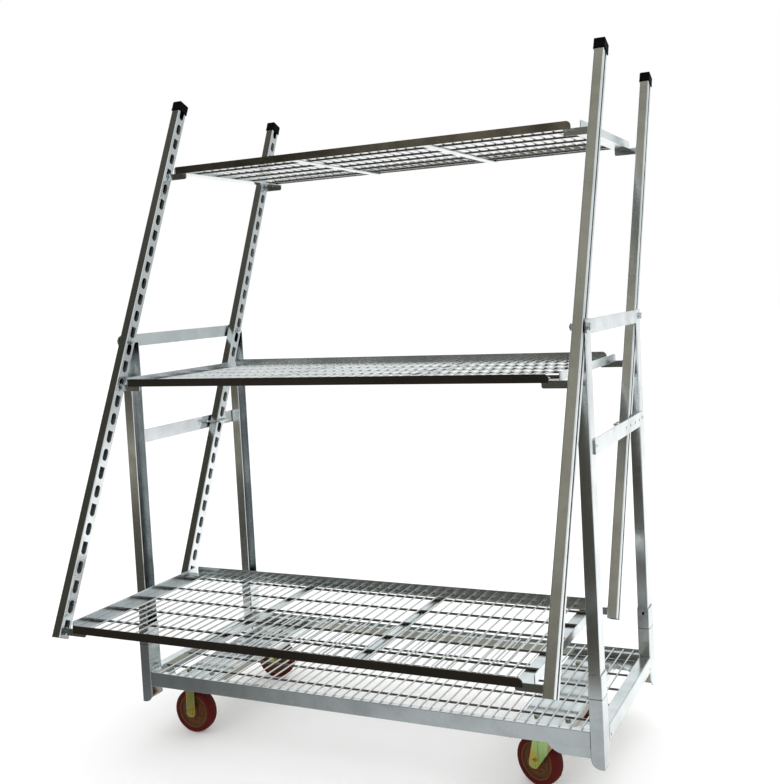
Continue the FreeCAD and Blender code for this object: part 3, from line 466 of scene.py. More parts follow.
def make_finishes(tints):
    """All finishes of the cart, by name."""
    zinc, bloom = tints.zinc, tints.zinc_bloom
    # Rails and tubes carry painted shade in their creases, the uprights and slotted posts inside their
    # hollows
    FINISHES["rail"] = plated("zinc_rail", zinc, bloom, ALONG_X, FLANGE_EDGE, crease=CREASE_REACH)
    FINISHES["end"] = plated("zinc_end_rail", zinc, bloom, ALONG_Y, FLANGE_EDGE, crease=CREASE_REACH)
    FINISHES["tube"] = plated("zinc_tube", zinc, bloom, ALONG_Z, SHEET_EDGE, crease=CREASE_REACH)
    FINISHES["upright"] = plated("zinc_upright", zinc, bloom, ALONG_Z, SHEET_EDGE, hollow=UPRIGHT_REACH)
    FINISHES["slotted"] = plated("zinc_slotted_post", zinc, bloom, ALONG_Z, SHEET_EDGE, hollow=POST_REACH)
    # The front rails' darker tones are painted shade, lighter on the top rail
    FINISHES["shaded_rail_face"] = plated("zinc_shaded_rail_face", tints.shaded_rail_face, tints.shaded_rail_bloom, ALONG_X, FOLD_EDGE)
    FINISHES["shaded_top_rail"] = plated("zinc_shaded_top_rail", tints.shaded_top_rail, tints.shaded_rail_face, ALONG_X, FOLD_EDGE)
    # The long wires' sides carry painted shade
    FINISHES["wire"] = plated("zinc_wire", tints.wire, bloom, NO_GRAIN, WIRE_EDGE, long_wire_shade=tints.shaded_long_wire)
    FINISHES["bolt"] = plated("zinc_bolt", tints.bolt, bloom, NO_GRAIN, BOLT_EDGE, dust=0.1)
    FINISHES["weld"] = plated("weld_metal", tints.weld, tints.bolt, NO_GRAIN, WIRE_EDGE, dust=0.1, bump=0.4)
    FINISHES["seam"] = plated("seam_grime", tints.seam, tints.seam_bloom, NO_GRAIN, SEAM_EDGE)
    bands = {
        "Yellow": opaque(tints.yellow_zinc),
        "Green": opaque(tints.yellow_sheen),
        "Red": opaque(tints.red_sheen),
    }
    FINISHES["yellow"] = plated(
        "yellow_zinc", tints.yellow_zinc, tints.yellow_sheen, NO_GRAIN, SHEET_EDGE, dust=0.1, bands=bands
    )
    FINISHES["caster_bolt"] = plated(
        "caster_bolt", tints.caster_bolt, tints.bolt, NO_GRAIN, BOLT_EDGE, dust=0.1
    )
    FINISHES["cap"] = moulded(
        "black_cap", tints.cap, tints.cap_scuff, roughness=0.60, grain_scale=1500.0, shine=0.02, dust=0.02
    )
    FINISHES["core"] = moulded(
        "brown_core", tints.core, tints.core_scuff, roughness=0.34, grain_scale=700.0, shine=0.16
    )
    FINISHES["tyre"] = moulded(
        "red_tyre", tints.tyre, tints.tyre_scuff, roughness=0.50, grain_scale=1100.0, shine=0.05
    )


# Finishes by the endings of node names, the first that fits
NODE_FINISHES = (
    ("tyre", ("_tyre",)),
    ("core", ("_wheel_core",)),
    ("cap", ("_post_caps",)),
    ("caster_bolt", ("caster_bolts",)),
    ("yellow", ("_fork", "_forks", "_axle", "_axles", "swivel_plates")),
    ("shaded_top_rail", ("top_shelf_front_rail",)),
    ("shaded_rail_face", ("_shelf_front_rail",)),
    ("wire", ("_deck",)),
    ("end", ("end_rails", "_bar", "_straps")),
    ("slotted", ("_post",)),
    ("upright", ("_upright",)),
    ("tube", ("_posts", "_sleeves")),
    ("bolt", ("_rivets", "_bolts", "_nuts", "_bushes", "_pin")),
)


def finish_of(node):
    """The finish that a frame node takes."""
    for finish, endings in NODE_FINISHES:
        if node.endswith(endings):
            return finish
    return "rail"


def dress(piece, finish):
    piece.data.materials.clear()
    piece.data.materials.append(FINISHES[finish])


# Meshes


def new_piece(name, mesh_maker, finish, body):
    """A piece built by a function that fills a bmesh, dressed and set on its body."""
    shape = bmesh.new()
    mesh_maker(shape)
    bmesh.ops.recalc_face_normals(shape, faces=shape.faces)
    mesh = bpy.data.meshes.new(name)
    shape.to_mesh(mesh)
    shape.free()
    piece = bpy.data.objects.new(name, mesh)
    bpy.context.scene.collection.objects.link(piece)
    dress(piece, finish)
    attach(piece, body)
    return piece


def smooth_by_angle(piece, degrees=35.0):
    """Smooth shading with the edges over an angle kept sharp."""
    shape = bmesh.new()
    shape.from_mesh(piece.data)
    limit = math.radians(degrees)
    for face in shape.faces:
        face.smooth = True
    for edge in shape.edges:
        edge.smooth = len(edge.link_faces) == 2 and edge.calc_face_angle(0.0) < limit
    shape.to_mesh(piece.data)
    shape.free()


def rings_to_faces(shape, rings, loop=False):
    """Skins point rings of one count, closed by end faces or back to the first ring."""
    made = [[shape.verts.new(point) for point in ring] for ring in rings]
    count = len(made[0])
    for near, far in zip(made, made[1:] + made[:1] if loop else made[1:]):
        for n in range(count):
            shape.faces.new((near[n], near[(n + 1) % count], far[(n + 1) % count], far[n]))
    if not loop:
        shape.faces.new(list(reversed(made[0])))
        shape.faces.new(made[-1])


def axis_frame(axis):
    """Two unit vectors square to an axis."""
    axis = Vector(axis).normalized()
    helper = Vector((0, 0, 1)) if abs(axis.z) < 0.9 else Vector((1, 0, 0))
    first = axis.cross(helper).normalized()
    return first, axis.cross(first).normalized()


def spoke(axis, angle):
    """A unit vector square to an axis, turned round it."""
    first, second = axis_frame(axis)
    return first * math.cos(angle) + second * math.sin(angle)


def circle_points(centre, axis, radius, count):
    return [centre + spoke(axis, TURN * n / count) * radius for n in range(count)]


def turned(shape, centre, axis, profile, count):
    """A closed turned body from (along, radius) points."""
    axis = Vector(axis).normalized()
    rings = [circle_points(centre + axis * along, axis, radius, count) for along, radius in profile]
    rings_to_faces(shape, rings, loop=True)


def rounded_ring(half, corner, inset, steps):
    """(x, y) points round a rectangle with round corners, drawn in by an inset."""
    points = []
    for quarter, (cx, cy) in enumerate(((1, 1), (-1, 1), (-1, -1), (1, -1))):
        for n in range(steps + 1):
            angle = math.pi / 2 * (quarter + n / steps)
            x = cx * (half.x - corner) + math.cos(angle) * (corner - inset)
            y = cy * (half.y - corner) + math.sin(angle) * (corner - inset)
            points.append((x, y))
    return points


def hexagon_head(shape, seat, axis, across_flats, height, sizes):
    """A hexagon with chamfered corners on a round washer that lies within the head's height."""
    axis = Vector(axis).normalized()
    corner = across_flats / math.sqrt(3)
    flat = across_flats / 2
    rim, wall = sizes.washer_rim, sizes.washer_wall
    count = 48

    def ring(along, limit):
        points = []
        for n in range(count):
            angle = TURN * n / count
            local = (angle % (TURN / 6)) - TURN / 12
            radius = min(flat / math.cos(local), limit)
            points.append(seat + axis * along + spoke(axis, angle) * radius)
        return points

    washer = ((0.0, 0.8), (0.2, 1.0), (0.8, 1.0), (1.0, 0.8))
    rings_to_faces(shape, [
        circle_points(seat + axis * wall * along, axis, flat + rim * share, count) for along, share in washer
    ])
    head = (
        (wall, flat * 1.02), (wall + height * 0.05, corner), (height * 0.86, corner),
        (height * 0.95, flat * 1.03), (height, flat * 0.93), (height * 0.97, flat * 0.60),
    )
    rings_to_faces(shape, [ring(along, limit) for along, limit in head])


def threaded_rod(shape, start, axis, span, radius, pitch, count=24):
    """A rod end with a rolled thread, its crest on the given radius."""
    axis = Vector(axis).normalized()
    depth = pitch * 0.45
    steps = max(int(span / pitch * 6), 6)
    rings = []
    for step in range(steps + 1):
        along = span * step / steps
        ring = []
        taper = min(1.0, (span - along) / pitch)
        for n in range(count):
            wave = 0.5 + 0.5 * math.cos(TURN * (along / pitch - n / count))
            size = radius - depth * (1 - wave) - depth * (1 - taper)
            ring.append(start + axis * along + spoke(axis, TURN * n / count) * size)
        rings.append(ring)
    rings_to_faces(shape, rings)


def solids_of(node):
    """The separate shells of a frame node, as (low, high) boxes."""
    shape = bmesh.new()
    shape.from_mesh(frame["nodes"][node].data)
    bmesh.ops.remove_doubles(shape, verts=shape.verts, dist=1e-6)
    boxes = []
    seen = set()
    for first in shape.verts:
        if first in seen:
            continue
        stack = [first]
        island = []
        seen.add(first)
        while stack:
            vert = stack.pop()
            island.append(vert.co.copy())
            for edge in vert.link_edges:
                other = edge.other_vert(vert)
                if other not in seen:
                    seen.add(other)
                    stack.append(other)
        low = Vector([min(point[k] for point in island) for k in range(3)])
        high = Vector([max(point[k] for point in island) for k in range(3)])
        boxes.append((low, high))
    shape.free()
    return boxes


def middle_of(box):
    return (box[0] + box[1]) / 2


# Operators, one for each group of pieces


class CART_OT_finishes(bpy.types.Operator):
    """Dress every frame node in its finish"""

    bl_idname = "cart.finishes"
    bl_label = "Finishes"

    def execute(self, context):
        make_finishes(context.scene.cart_finishes)
        for name, piece in frame["nodes"].items():
            dress(piece, finish_of(name))
        return {"FINISHED"}


# Shank and thread of a bolt, as shares of its hexagon and its length
PIVOT_SHANK_SHARE = 10 / 17
PIVOT_THREAD_SHARE = 0.45
CASTER_SHANK_SHARE = 8 / 13
CASTER_HEAD_SHARE = 5.3 / 17.6
PIVOT_SHANK_SIDES = 24
CASTER_SHANK_SIDES = 20


class CART_OT_pivots(bpy.types.Operator):
    """Pivot bolts with washers and thread, and their nuts"""

    bl_idname = "cart.pivots"
    bl_label = "Pivot bolts"

    def execute(self, context):
        sizes = context.scene.cart_fittings
        bolts = solids_of("pivot_bolts")
        nuts = solids_of("pivot_nuts")
        if len(bolts) != len(nuts):
            raise RuntimeError("each pivot bolt needs a nut")

        def fill_bolts(shape):
            for low, high in bolts:
                outward = 1 if low.x + high.x > 0 else -1
                flats = high.y - low.y
                middle = middle_of((low, high))
                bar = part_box("right_upper_bar" if outward > 0 else "left_upper_bar")
                seat_x = bar[1].x if outward > 0 else bar[0].x
                tip_x = high.x if outward > 0 else low.x
                end_x = low.x if outward > 0 else high.x
                seat = Vector((seat_x, middle.y, middle.z))
                axis = Vector((outward, 0, 0))
                hexagon_head(shape, seat, axis, flats, abs(tip_x - seat_x), sizes)
                radius = flats * PIVOT_SHANK_SHARE / 2
                span = abs(seat_x - end_x)
                thread = span * PIVOT_THREAD_SHARE
                plain_end = seat - axis * (span - thread)
                ends = (seat, plain_end)
                rings_to_faces(shape, [circle_points(end, axis, radius, PIVOT_SHANK_SIDES) for end in ends])
                threaded_rod(shape, plain_end, -axis, thread, radius, sizes.thread_pitch)

        def fill_nuts(shape):
            for low, high in nuts:
                outward = 1 if low.x + high.x > 0 else -1
                middle = middle_of((low, high))
                seat = Vector((high.x if outward > 0 else low.x, middle.y, middle.z))
                axis = Vector((-outward, 0, 0))
                flats, tall = high.y - low.y, high.x - low.x
                hexagon_head(shape, seat, axis, flats, tall, sizes)

        for name, filler in (("pivot_bolts", fill_bolts), ("pivot_nuts", fill_nuts)):
            piece = new_piece(f"detailed_{name}", filler, "bolt", "base")
            smooth_by_angle(piece)
            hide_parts(name)
        return {"FINISHED"}


class CART_OT_caster_bolts(bpy.types.Operator):
    """Bolts of the caster plates, with washers and nuts"""

    bl_idname = "cart.caster_bolts"
    bl_label = "Caster bolts"

    def execute(self, context):
        sizes = context.scene.cart_fittings
        plate_top = max(high.z for _, high in solids_of("mount_plates"))
        plate_low = min(low.z for low, _ in solids_of("swivel_plates"))
        if plate_top <= plate_low:
            raise RuntimeError("the caster plates lie above their mount plates")
        bolts = solids_of("caster_bolts")

        def fill(shape):
            up = Vector((0, 0, 1))
            for low, high in bolts:
                middle = middle_of((low, high))
                flats = min(high.x - low.x, high.y - low.y)
                head = (high.z - low.z) * CASTER_HEAD_SHARE
                top = Vector((middle.x, middle.y, high.z - head))
                under = Vector((middle.x, middle.y, low.z + head))
                hexagon_head(shape, top, up, flats, head, sizes)
                hexagon_head(shape, under, -up, flats, head, sizes)
                radius = flats * CASTER_SHANK_SHARE / 2
                ends = (top, under)
                rings_to_faces(shape, [circle_points(end, up, radius, CASTER_SHANK_SIDES) for end in ends])

        piece = new_piece("detailed_caster_bolts", fill, "caster_bolt", "base")
        smooth_by_angle(piece)
        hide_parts("caster_bolts")
        return {"FINISHED"}


def axle_of(wheel):
    """Middle and direction of a wheel's axle, from its joint."""
    name = f"{wheel}_wheel_spin"
    for joint in frame["joints"]:
        if joint["name"] == name:
            return Vector(joint["pos_m"]), Vector(joint["axis"]).normalized()
    raise RuntimeError(f"the frame has no joint named {name}")


# Wheel sizes as shares of the centre's radius or the tread's width
BORE_SHARE = 0.125
HUB_SHARE = 0.35
RING_SHARE = 0.64
CORE_WIDTH_SHARE = 0.86
WEB_SHARE = 0.26
SHOULDER_SHARE = 0.2
LIP_SHARE = 0.12
RIB_COUNT = 8
# Outlines on a wheel centre, in millimetres, as (rise from the disc, distance outward) points
HUB_FILLET = ((4.0, 0.6), (2.2, 3.0), (0.0, 4.5))
DISC_RING = ((0.0, -3.0), (2.2, -1.8), (2.2, 1.8), (0.0, 3.0))
RIM_FOOT = ((0.0, -4.0), (1.6, -1.2))
# A rib's ends, as (share of the radius, rise in millimetres) pairs
RIB_ENDS = ((0.40, 2.6), (0.62, 1.8))


def tyre_profile(radius, inner, width, crown):
    """(along, radius) points round a tread with soft shoulders and a mould line."""
    half = width / 2
    shoulder = width * SHOULDER_SHARE
    points = []
    for n in range(9):
        angle = math.pi / 2 * n / 8
        drop = shoulder * (1 - math.sin(angle))
        points.append((-half + shoulder * (1 - math.cos(angle)), radius - crown - drop))
    points += [(-half * 0.3, radius - crown * 0.2), (-width * 0.02, radius - crown * 0.05), (0.0, radius)]
    points += [(-along, size) for along, size in reversed(points[:-1])]
    lip = (radius - inner) * LIP_SHARE
    return points + [(half - lip, inner), (-half + lip, inner)]


def core_profile(bore, hub, hub_half, radius, width):
    """(along, radius) points round a moulded wheel centre with rings on its disc."""
    half = width / 2
    web = width * WEB_SHARE
    ring = radius * RING_SHARE
    rim = radius - 6.0 * MM
    soft, edge, chamfer = 1.2 * MM, 1.0 * MM, 1.4 * MM
    near = [(hub_half, bore), (hub_half, hub - soft), (hub_half - soft, hub)]
    for start, outline in ((hub, HUB_FILLET), (ring, DISC_RING), (rim, RIM_FOOT)):
        near += [(web + rise * MM, start + out * MM) for rise, out in outline]
    near += [(half - chamfer, rim), (half, rim + soft), (half, radius - edge), (half - edge, radius)]
    return near + [(-along, size) for along, size in reversed(near)]


class CART_OT_wheels(bpy.types.Operator):
    """Wheels: moulded centres with ribs and treads with soft shoulders"""

    bl_idname = "cart.wheels"
    bl_label = "Wheels"

    def execute(self, context):
        sizes = context.scene.cart_fittings
        tyre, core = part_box("front_fixed_tyre"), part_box("front_fixed_wheel_core")
        radius = (tyre[1].z - tyre[0].z) / 2
        width = tyre[1].y - tyre[0].y
        core_radius = (core[1].z - core[0].z) / 2
        hub_half = (core[1].y - core[0].y) / 2
        bore, hub = core_radius * BORE_SHARE, core_radius * HUB_SHARE
        tread_outline = tyre_profile(radius, core_radius + sizes.tyre_fit, width, sizes.tyre_crown)
        core_outline = core_profile(bore, hub, hub_half, core_radius, width * CORE_WIDTH_SHARE)
        for wheel in (f"{row}_{kind}" for row in ("front", "rear") for kind in ("fixed", "swivel")):
            centre, axis = axle_of(wheel)

            def fill_tread(shape):
                turned(shape, centre, axis, tread_outline, sizes.round_segments)

            def fill_core(shape):
                turned(shape, centre, axis, core_outline, sizes.round_segments)
                self.add_ribs(shape, centre, axis, core_radius, width, sizes.rib_half)

            tread = new_piece(f"{wheel}_tread", fill_tread, "tyre", f"{wheel}_wheel")
            middle = new_piece(f"{wheel}_wheel_centre", fill_core, "core", f"{wheel}_wheel")
            smooth_by_angle(tread, degrees=40.0)
            smooth_by_angle(middle, degrees=32.0)
            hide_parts(f"{wheel}_tyre")
            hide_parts(f"{wheel}_wheel_core")
        return {"FINISHED"}

    @staticmethod
    def add_ribs(shape, centre, axis, radius, width, half):
        """Low moulded ribs between the hub and the ring, on both sides."""
        sunk = 1.0 * MM
        foot = half * 1.4
        low = width * CORE_WIDTH_SHARE * WEB_SHARE - sunk
        for side in (-1, 1):
            along = axis * side
            for n in range(RIB_COUNT):
                out = spoke(axis, TURN * n / RIB_COUNT)
                across = out.cross(along)
                rings = []
                for share, rise in RIB_ENDS:
                    base = centre + out * radius * share + along * low
                    top = base + along * (rise * MM + sunk)
                    rings.append([
                        base - across * foot, base + across * foot, top + across * half, top - across * half
                    ])
                rings_to_faces(shape, rings)


# A cap's outline in millimetres, as (inset, height) points from its open end and from its top
CAP_LIP = ((1.5, 4.0), (1.5, 0.0), (0.3, 0.0), (0.0, 0.6), (0.0, 4.0), (0.4, 4.6))
CAP_TOP = ((0.4, -3.0), (0.8, -1.4), (1.7, -0.5), (2.9, 0.0))


class CART_OT_caps(bpy.types.Operator):
    """Soft-edged plastic caps on the post tops"""

    bl_idname = "cart.caps"
    bl_label = "Post caps"

    def execute(self, context):
        corner = context.scene.cart_fittings.cap_corner
        for row in ("front", "rear"):
            source = frame["nodes"][f"{row}_post_caps"]
            joint = next(j for j in frame["joints"] if j["name"] == f"{row}_lean")
            lean = self.lean_of(source)
            if not 0 < lean < math.pi / 2:
                raise RuntimeError("the posts have no lean")
            boxes = solids_of(f"{row}_post_caps")
            turn = Matrix.Rotation(-lean, 3, "X")
            pivot = Vector(joint["pos_m"])

            def fill(shape):
                for low, high in boxes:
                    self.cap(shape, source, low.x, high.x, turn, pivot, corner)

            piece = new_piece(f"{row}_soft_caps", fill, "cap", f"{row}_posts")
            smooth_by_angle(piece, degrees=50.0)
            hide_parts(f"{row}_post_caps")
        return {"FINISHED"}

    @staticmethod
    def lean_of(source):
        """Lean of a cap, from its longest straight edge that runs front to rear and up."""
        tallest = Vector((0, 0, 0))
        for edge in source.data.edges:
            a, b = (source.data.vertices[k].co for k in edge.vertices)
            span = b - a if b.z > a.z else a - b
            if abs(span.x) < TOUCH and span.y > 0 and span.z > span.y and span.length > tallest.length:
                tallest = span
        return math.atan2(tallest.y, tallest.z)

    @staticmethod
    def cap(shape, source, low_x, high_x, turn, pivot, corner):
        """One cap, built upright and then leaned about the pivot."""
        back = turn.inverted()
        places = [v.co for v in source.data.vertices if low_x - TOUCH < v.co.x < high_x + TOUCH]
        points = [back @ (place - pivot) for place in places]
        near = Vector([min(p[k] for p in points) for k in range(3)])
        far = Vector([max(p[k] for p in points) for k in range(3)])
        middle = middle_of((near, far))
        half = (far - near) / 2
        rings = []
        for start, outline in ((near.z, CAP_LIP), (far.z, CAP_TOP)):
            for inset, rise in outline:
                rings.append([
                    pivot + turn @ Vector((middle.x + x, middle.y + y, start + rise * MM))
                    for x, y in rounded_ring(half, corner, inset * MM, 5)
                ])
        rings_to_faces(shape, rings)


class CART_OT_seams(bpy.types.Operator):
    """Dark joint lines where the sleeves stand on the corner tubes"""

    bl_idname = "cart.seams"
    bl_label = "Sleeve seams"

    def execute(self, context):
        sizes = context.scene.cart_fittings
        sleeves = solids_of("post_sleeves")
        if len(sleeves) != 4:
            raise RuntimeError("each corner has a sleeve")
        outline = ((sizes.seam_depth, 0.5), (0.0, 0.5), (0.0, -0.5), (sizes.seam_depth, -0.5))

        def fill(shape):
            for low, high in sleeves:
                middle = middle_of((low, high))
                rings = []
                for inset, share in outline:
                    z = low.z + share * sizes.seam_height
                    ring = rounded_ring((high - low) / 2, sizes.seam_corner, inset - sizes.seam_proud, 4)
                    rings.append([(middle.x + x, middle.y + y, z) for x, y in ring])
                rings_to_faces(shape, rings, loop=True)

        piece = new_piece("sleeve_seams", fill, "seam", "base")
        smooth_by_angle(piece)
        return {"FINISHED"}


def bead(shape, start, end, first, second, radius, step):
    """A rippled weld bead in the corner between two faces that point along first and second."""
    span = end - start
    axis = span.normalized()
    count = max(int(span.length / step * 3), 6)
    rings = []
    for n in range(count + 1):
        along = span.length * n / count
        ripple = 1 + 0.16 * math.cos(TURN * along / step)
        ease = min(1.0, 0.35 + 0.65 * min(along, span.length - along) / radius)
        size = radius * ripple * ease
        place = start + axis * along
        rings.append([
            place - (first + second) * radius * 0.3,
            place + first * size,
            place + (first * 0.62 + second * 0.62) * size,
            place + second * size,
        ])
    rings_to_faces(shape, rings)


class CART_OT_frame_welds(bpy.types.Operator):
    """Weld beads where the base rails meet the corner tubes"""

    bl_idname = "cart.frame_welds"
    bl_label = "Frame welds"

    def execute(self, context):
        sizes = context.scene.cart_fittings
        rails = {"front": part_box("base_front_rail"), "rear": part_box("base_rear_rail")}
        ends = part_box("base_end_rails")
        tubes = solids_of("front_corner_posts") + solids_of("rear_corner_posts")
        if len(tubes) != 4:
            raise RuntimeError("the base has four corner tubes")

        def fill(shape):
            radius, step, wall = sizes.bead_radius, sizes.bead_step, sizes.rail_wall
            for low, high in tubes:
                side = 1 if low.x > 0 else -1
                front = low.y < 0
                rail = rails["front" if front else "rear"]
                inward = Vector((-side, 0, 0))
                back = Vector((0, 1 if front else -1, 0))
                tube_x = low.x if side > 0 else high.x
                tube_y = high.y if front else low.y
                rail_y = (rail[0].y if front else rail[1].y) + back.y * wall
                end_x = (ends[1].x if side > 0 else ends[0].x) - side * wall
                for x, y in ((tube_x, rail_y), (end_x, tube_y)):
                    foot, head = (Vector((x, y, z)) for z in (rail[0].z + radius, rail[1].z - radius))
                    bead(shape, foot, head, inward, back, radius, step)

        piece = new_piece("base_corner_welds", fill, "weld", "base")
        smooth_by_angle(piece, degrees=60.0)
        return {"FINISHED"}


# Points of one wire's end lie nearer together than this
WIRE_REACH = 6.0 * MM
SPOT_SIDES = 8


def cross_wire_places(node):
    """Middle lines of a deck's cross wires along X, found from the wires' ends."""
    front_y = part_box(node)[0].y
    mesh = frame["nodes"][node].data
    xs = sorted({round(v.co.x, 4) for v in mesh.vertices if v.co.y < front_y + TOUCH})
    groups = []
    for x in xs:
        if groups and x - groups[-1][-1] < WIRE_REACH:
            groups[-1].append(x)
        else:
            groups.append([x])
    return [(group[0] + group[-1]) / 2 for group in groups]


def weld_spot(shape, centre, radius, squeeze=0.55, stretch=1.5):
    """A low blob of weld metal, longer along the wire."""
    rings = []
    for level in range(4):
        angle = math.radians(25.0 * level)
        size = radius * math.cos(angle)
        rise = radius * squeeze * math.sin(angle)
        ring = []
        for n in range(SPOT_SIDES):
            turn = TURN * n / SPOT_SIDES
            ring.append(centre + Vector((math.cos(turn) * size, math.sin(turn) * size * stretch, rise)))
        rings.append(ring)
    rings_to_faces(shape, rings)


class CART_OT_deck_welds(bpy.types.Operator):
    """Weld spots where the deck wires sit on their rails"""

    bl_idname = "cart.deck_welds"
    bl_label = "Deck welds"

    def execute(self, context):
        sizes = context.scene.cart_fittings
        inset = sizes.wire_weld_inset
        for body in ("base", "bottom_shelf", "middle_shelf", "top_shelf"):
            node = f"{body}_deck"
            places = cross_wire_places(node)
            if not places:
                raise RuntimeError(f"{node} has no cross wires")
            seat_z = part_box(node)[1].z - sizes.deck_wire
            front_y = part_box(f"{body}_front_rail")[1].y - inset
            rear_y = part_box(f"{body}_rear_rail")[0].y + inset

            def fill(shape):
                for x in places:
                    for y in (front_y, rear_y):
                        weld_spot(shape, Vector((x, y, seat_z)), sizes.wire_weld_radius)

            piece = new_piece(f"{node}_welds", fill, "weld", body)
            smooth_by_angle(piece, degrees=70.0)
        return {"FINISHED"}


# Studio


PHOTO_HEIGHT = 784
FOCAL_PIXELS = 1030.70
CAMERA_PLACE = (1.3067, -2.5495, 1.2398)
CAMERA_YAW = 0.43305
CAMERA_PITCH = -0.05333
CAMERA_ROLL = 0.05223
CAMERA_SHIFT = (-0.0352, -0.0635)
SENSOR_HEIGHT = 24.0
CLIP_END = 200.0
# Soft lights as place, target and size in metres
KEY_LIGHT = ((4.2, 1.2, 4.0), (0.2, 0.0, 0.9), (2.6, 2.6))
REAR_LIGHT = ((0.5, 4.0, 3.4), (0.0, 0.0, 0.9), (3.0, 2.0))
# Tones that the metal mirrors, as (place in metres, level) pairs along one axis
LEFT_TONES = ((0.0, 0.46), (0.25, 0.42), (0.55, 0.06), (3.7, 0.055), (5.2, 0.08), (9.0, 0.13), (16.0, 0.13))
FRONT_TONES = ((0.0, 0.075), (1.4, 0.075), (2.2, 0.15), (3.2, 0.31), (4.4, 0.32), (6.5, 0.34), (16.0, 0.31))
RIGHT_TONES = ((0.0, 0.62), (6.0, 0.70))
FAR_TONES = ((-9.0, 0.07), (-1.15, 0.07), (-0.95, 0.20))
NEAR_TONES = ((-9.0, 0.06), (-1.3, 0.08), (-0.7, 0.18), (0.1, 0.54), (0.8, 0.62), (9.0, 0.66))
# The under card paints the cart's shadow on the floor, as the metal mirrors it
UNDER_TONES = ((-0.32, 0.34), (0.36, 0.34))
# Cards that stand, as (tones, first foot, last foot, height)
STANDING_CARDS = {
    "left_card": (LEFT_TONES, (-9.0, 0.5), (-2.2, -4.0), 16.0),
    "front_card": (FRONT_TONES, (-2.2, -4.0), (2.4, -7.0), 16.0),
    "right_card": (RIGHT_TONES, (4.0, 1.0), (4.0, 9.5), 6.0),
}
# Cards that lie on the floor, as (axis, tones, low corner, high corner)
LYING_CARDS = {
    "far_card": ("Y", FAR_TONES, (-9.0, -9.0), (3.0, -0.95)),
    "near_card": ("X", NEAR_TONES, (-9.0, -0.95), (9.0, -0.32)),
    "under_card": ("Y", UNDER_TONES, (-0.7, -0.32), (0.7, 0.36)),
}
COOL_CARDS = ("near_card", "right_card")
CARD_LIFT = 3.0 * MM


def add_camera():
    """The photograph's camera, with its place and turn in the cart's frame."""
    ahead = Vector((
        -math.sin(CAMERA_YAW) * math.cos(CAMERA_PITCH),
        math.cos(CAMERA_YAW) * math.cos(CAMERA_PITCH),
        math.sin(CAMERA_PITCH),
    ))
    level = Vector((math.cos(CAMERA_YAW), math.sin(CAMERA_YAW), 0))
    down = ahead.cross(level)
    across = level * math.cos(CAMERA_ROLL) + down * math.sin(CAMERA_ROLL)
    below = down * math.cos(CAMERA_ROLL) - level * math.sin(CAMERA_ROLL)
    data = bpy.data.cameras.new("photo_camera")
    data.sensor_fit = "VERTICAL"
    data.sensor_height = SENSOR_HEIGHT
    data.lens = FOCAL_PIXELS / PHOTO_HEIGHT * SENSOR_HEIGHT
    data.shift_x, data.shift_y = CAMERA_SHIFT
    data.clip_end = CLIP_END
    camera = bpy.data.objects.new("photo_camera", data)
    turn = Matrix((across, -below, -ahead)).transposed()
    camera.matrix_world = Matrix.Translation(CAMERA_PLACE) @ turn.to_4x4()
    bpy.context.scene.collection.objects.link(camera)
    bpy.context.scene.camera = camera


def add_light(name, place, target, size, power):
    data = bpy.data.lights.new(name, "AREA")
    data.shape = "RECTANGLE"
    data.size, data.size_y = size
    data.energy = power
    light = bpy.data.objects.new(name, data)
    aim = (Vector(target) - Vector(place)).to_track_quat("-Z", "Y")
    light.matrix_world = Matrix.Translation(place) @ aim.to_matrix().to_4x4()
    bpy.context.scene.collection.objects.link(light)
    light.visible_camera = False
    light.visible_glossy = False


def stage_sheet(name, corners, material):
    mesh = bpy.data.meshes.new(name)
    mesh.from_pydata([Vector(c) for c in corners], [], [tuple(range(len(corners)))])
    sheet = bpy.data.objects.new(name, mesh)
    sheet.data.materials.append(material)
    bpy.context.scene.collection.objects.link(sheet)
    return sheet


def floor_material(tone, lift):
    """A pale matt floor, lifted a little so that only the shadow falls below white."""
    material, nodes, shader = new_material("pale_floor")
    cloud = nodes.noise(nodes.place(), scale=1.5, detail=4.0)
    paler = [min(1, share * 1.04) for share in tone]
    nodes.feed(shader.inputs["Base Color"], nodes.mix(cloud, opaque(tone), opaque(paler)))
    shader.inputs["Roughness"].default_value = 0.9
    shader.inputs["Specular IOR Level"].default_value = 0.1
    shader.inputs["Emission Color"].default_value = WHITE
    shader.inputs["Emission Strength"].default_value = lift
    return material


def card_material(name, axis, tones, tint):
    """A card whose tone runs through (place, level) pairs along one axis."""
    material, nodes, _ = new_material(name)
    material.node_tree.nodes.clear()
    along = nodes.parts(nodes.place())[axis]
    first, last = tones[0][0], tones[-1][0]
    share = nodes.add("ShaderNodeMapRange", {"Value": along, "From Min": first, "From Max": last})
    ramp = nodes.add("ShaderNodeValToRGB", {"Fac": share.outputs["Result"]})
    stops = ramp.color_ramp.elements
    while len(stops) < len(tones):
        stops.new(1.0)
    for stop, (reach, level) in zip(stops, tones):
        stop.position = (reach - first) / (last - first)
        stop.color = opaque([level * share for share in tint])
    glow = nodes.add("ShaderNodeEmission", {"Color": ramp.outputs["Color"]})
    end = nodes.add("ShaderNodeOutputMaterial")
    nodes.feed(end.inputs["Surface"], glow.outputs["Emission"])
    return material


def add_world(ambient, tint):
    """White for the camera and for reflections, an even soft level for the rest."""
    world = bpy.data.worlds.new("studio")
    world.use_nodes = True
    nodes = Nodes(world.node_tree)
    world.node_tree.nodes.clear()
    path = nodes.add("ShaderNodeLightPath").outputs
    seen = nodes.math("MAXIMUM", path["Is Camera Ray"], path["Is Glossy Ray"])
    seen = nodes.math("MAXIMUM", seen, path["Is Transmission Ray"])
    level = nodes.between(seen, ambient, 1.0)
    tone = nodes.mix(path["Is Glossy Ray"], WHITE, opaque(tint))
    glow = nodes.add("ShaderNodeBackground", {"Color": tone, "Strength": level})
    end = nodes.add("ShaderNodeOutputWorld")
    nodes.feed(end.inputs["Surface"], glow.outputs["Background"])
    bpy.context.scene.world = world


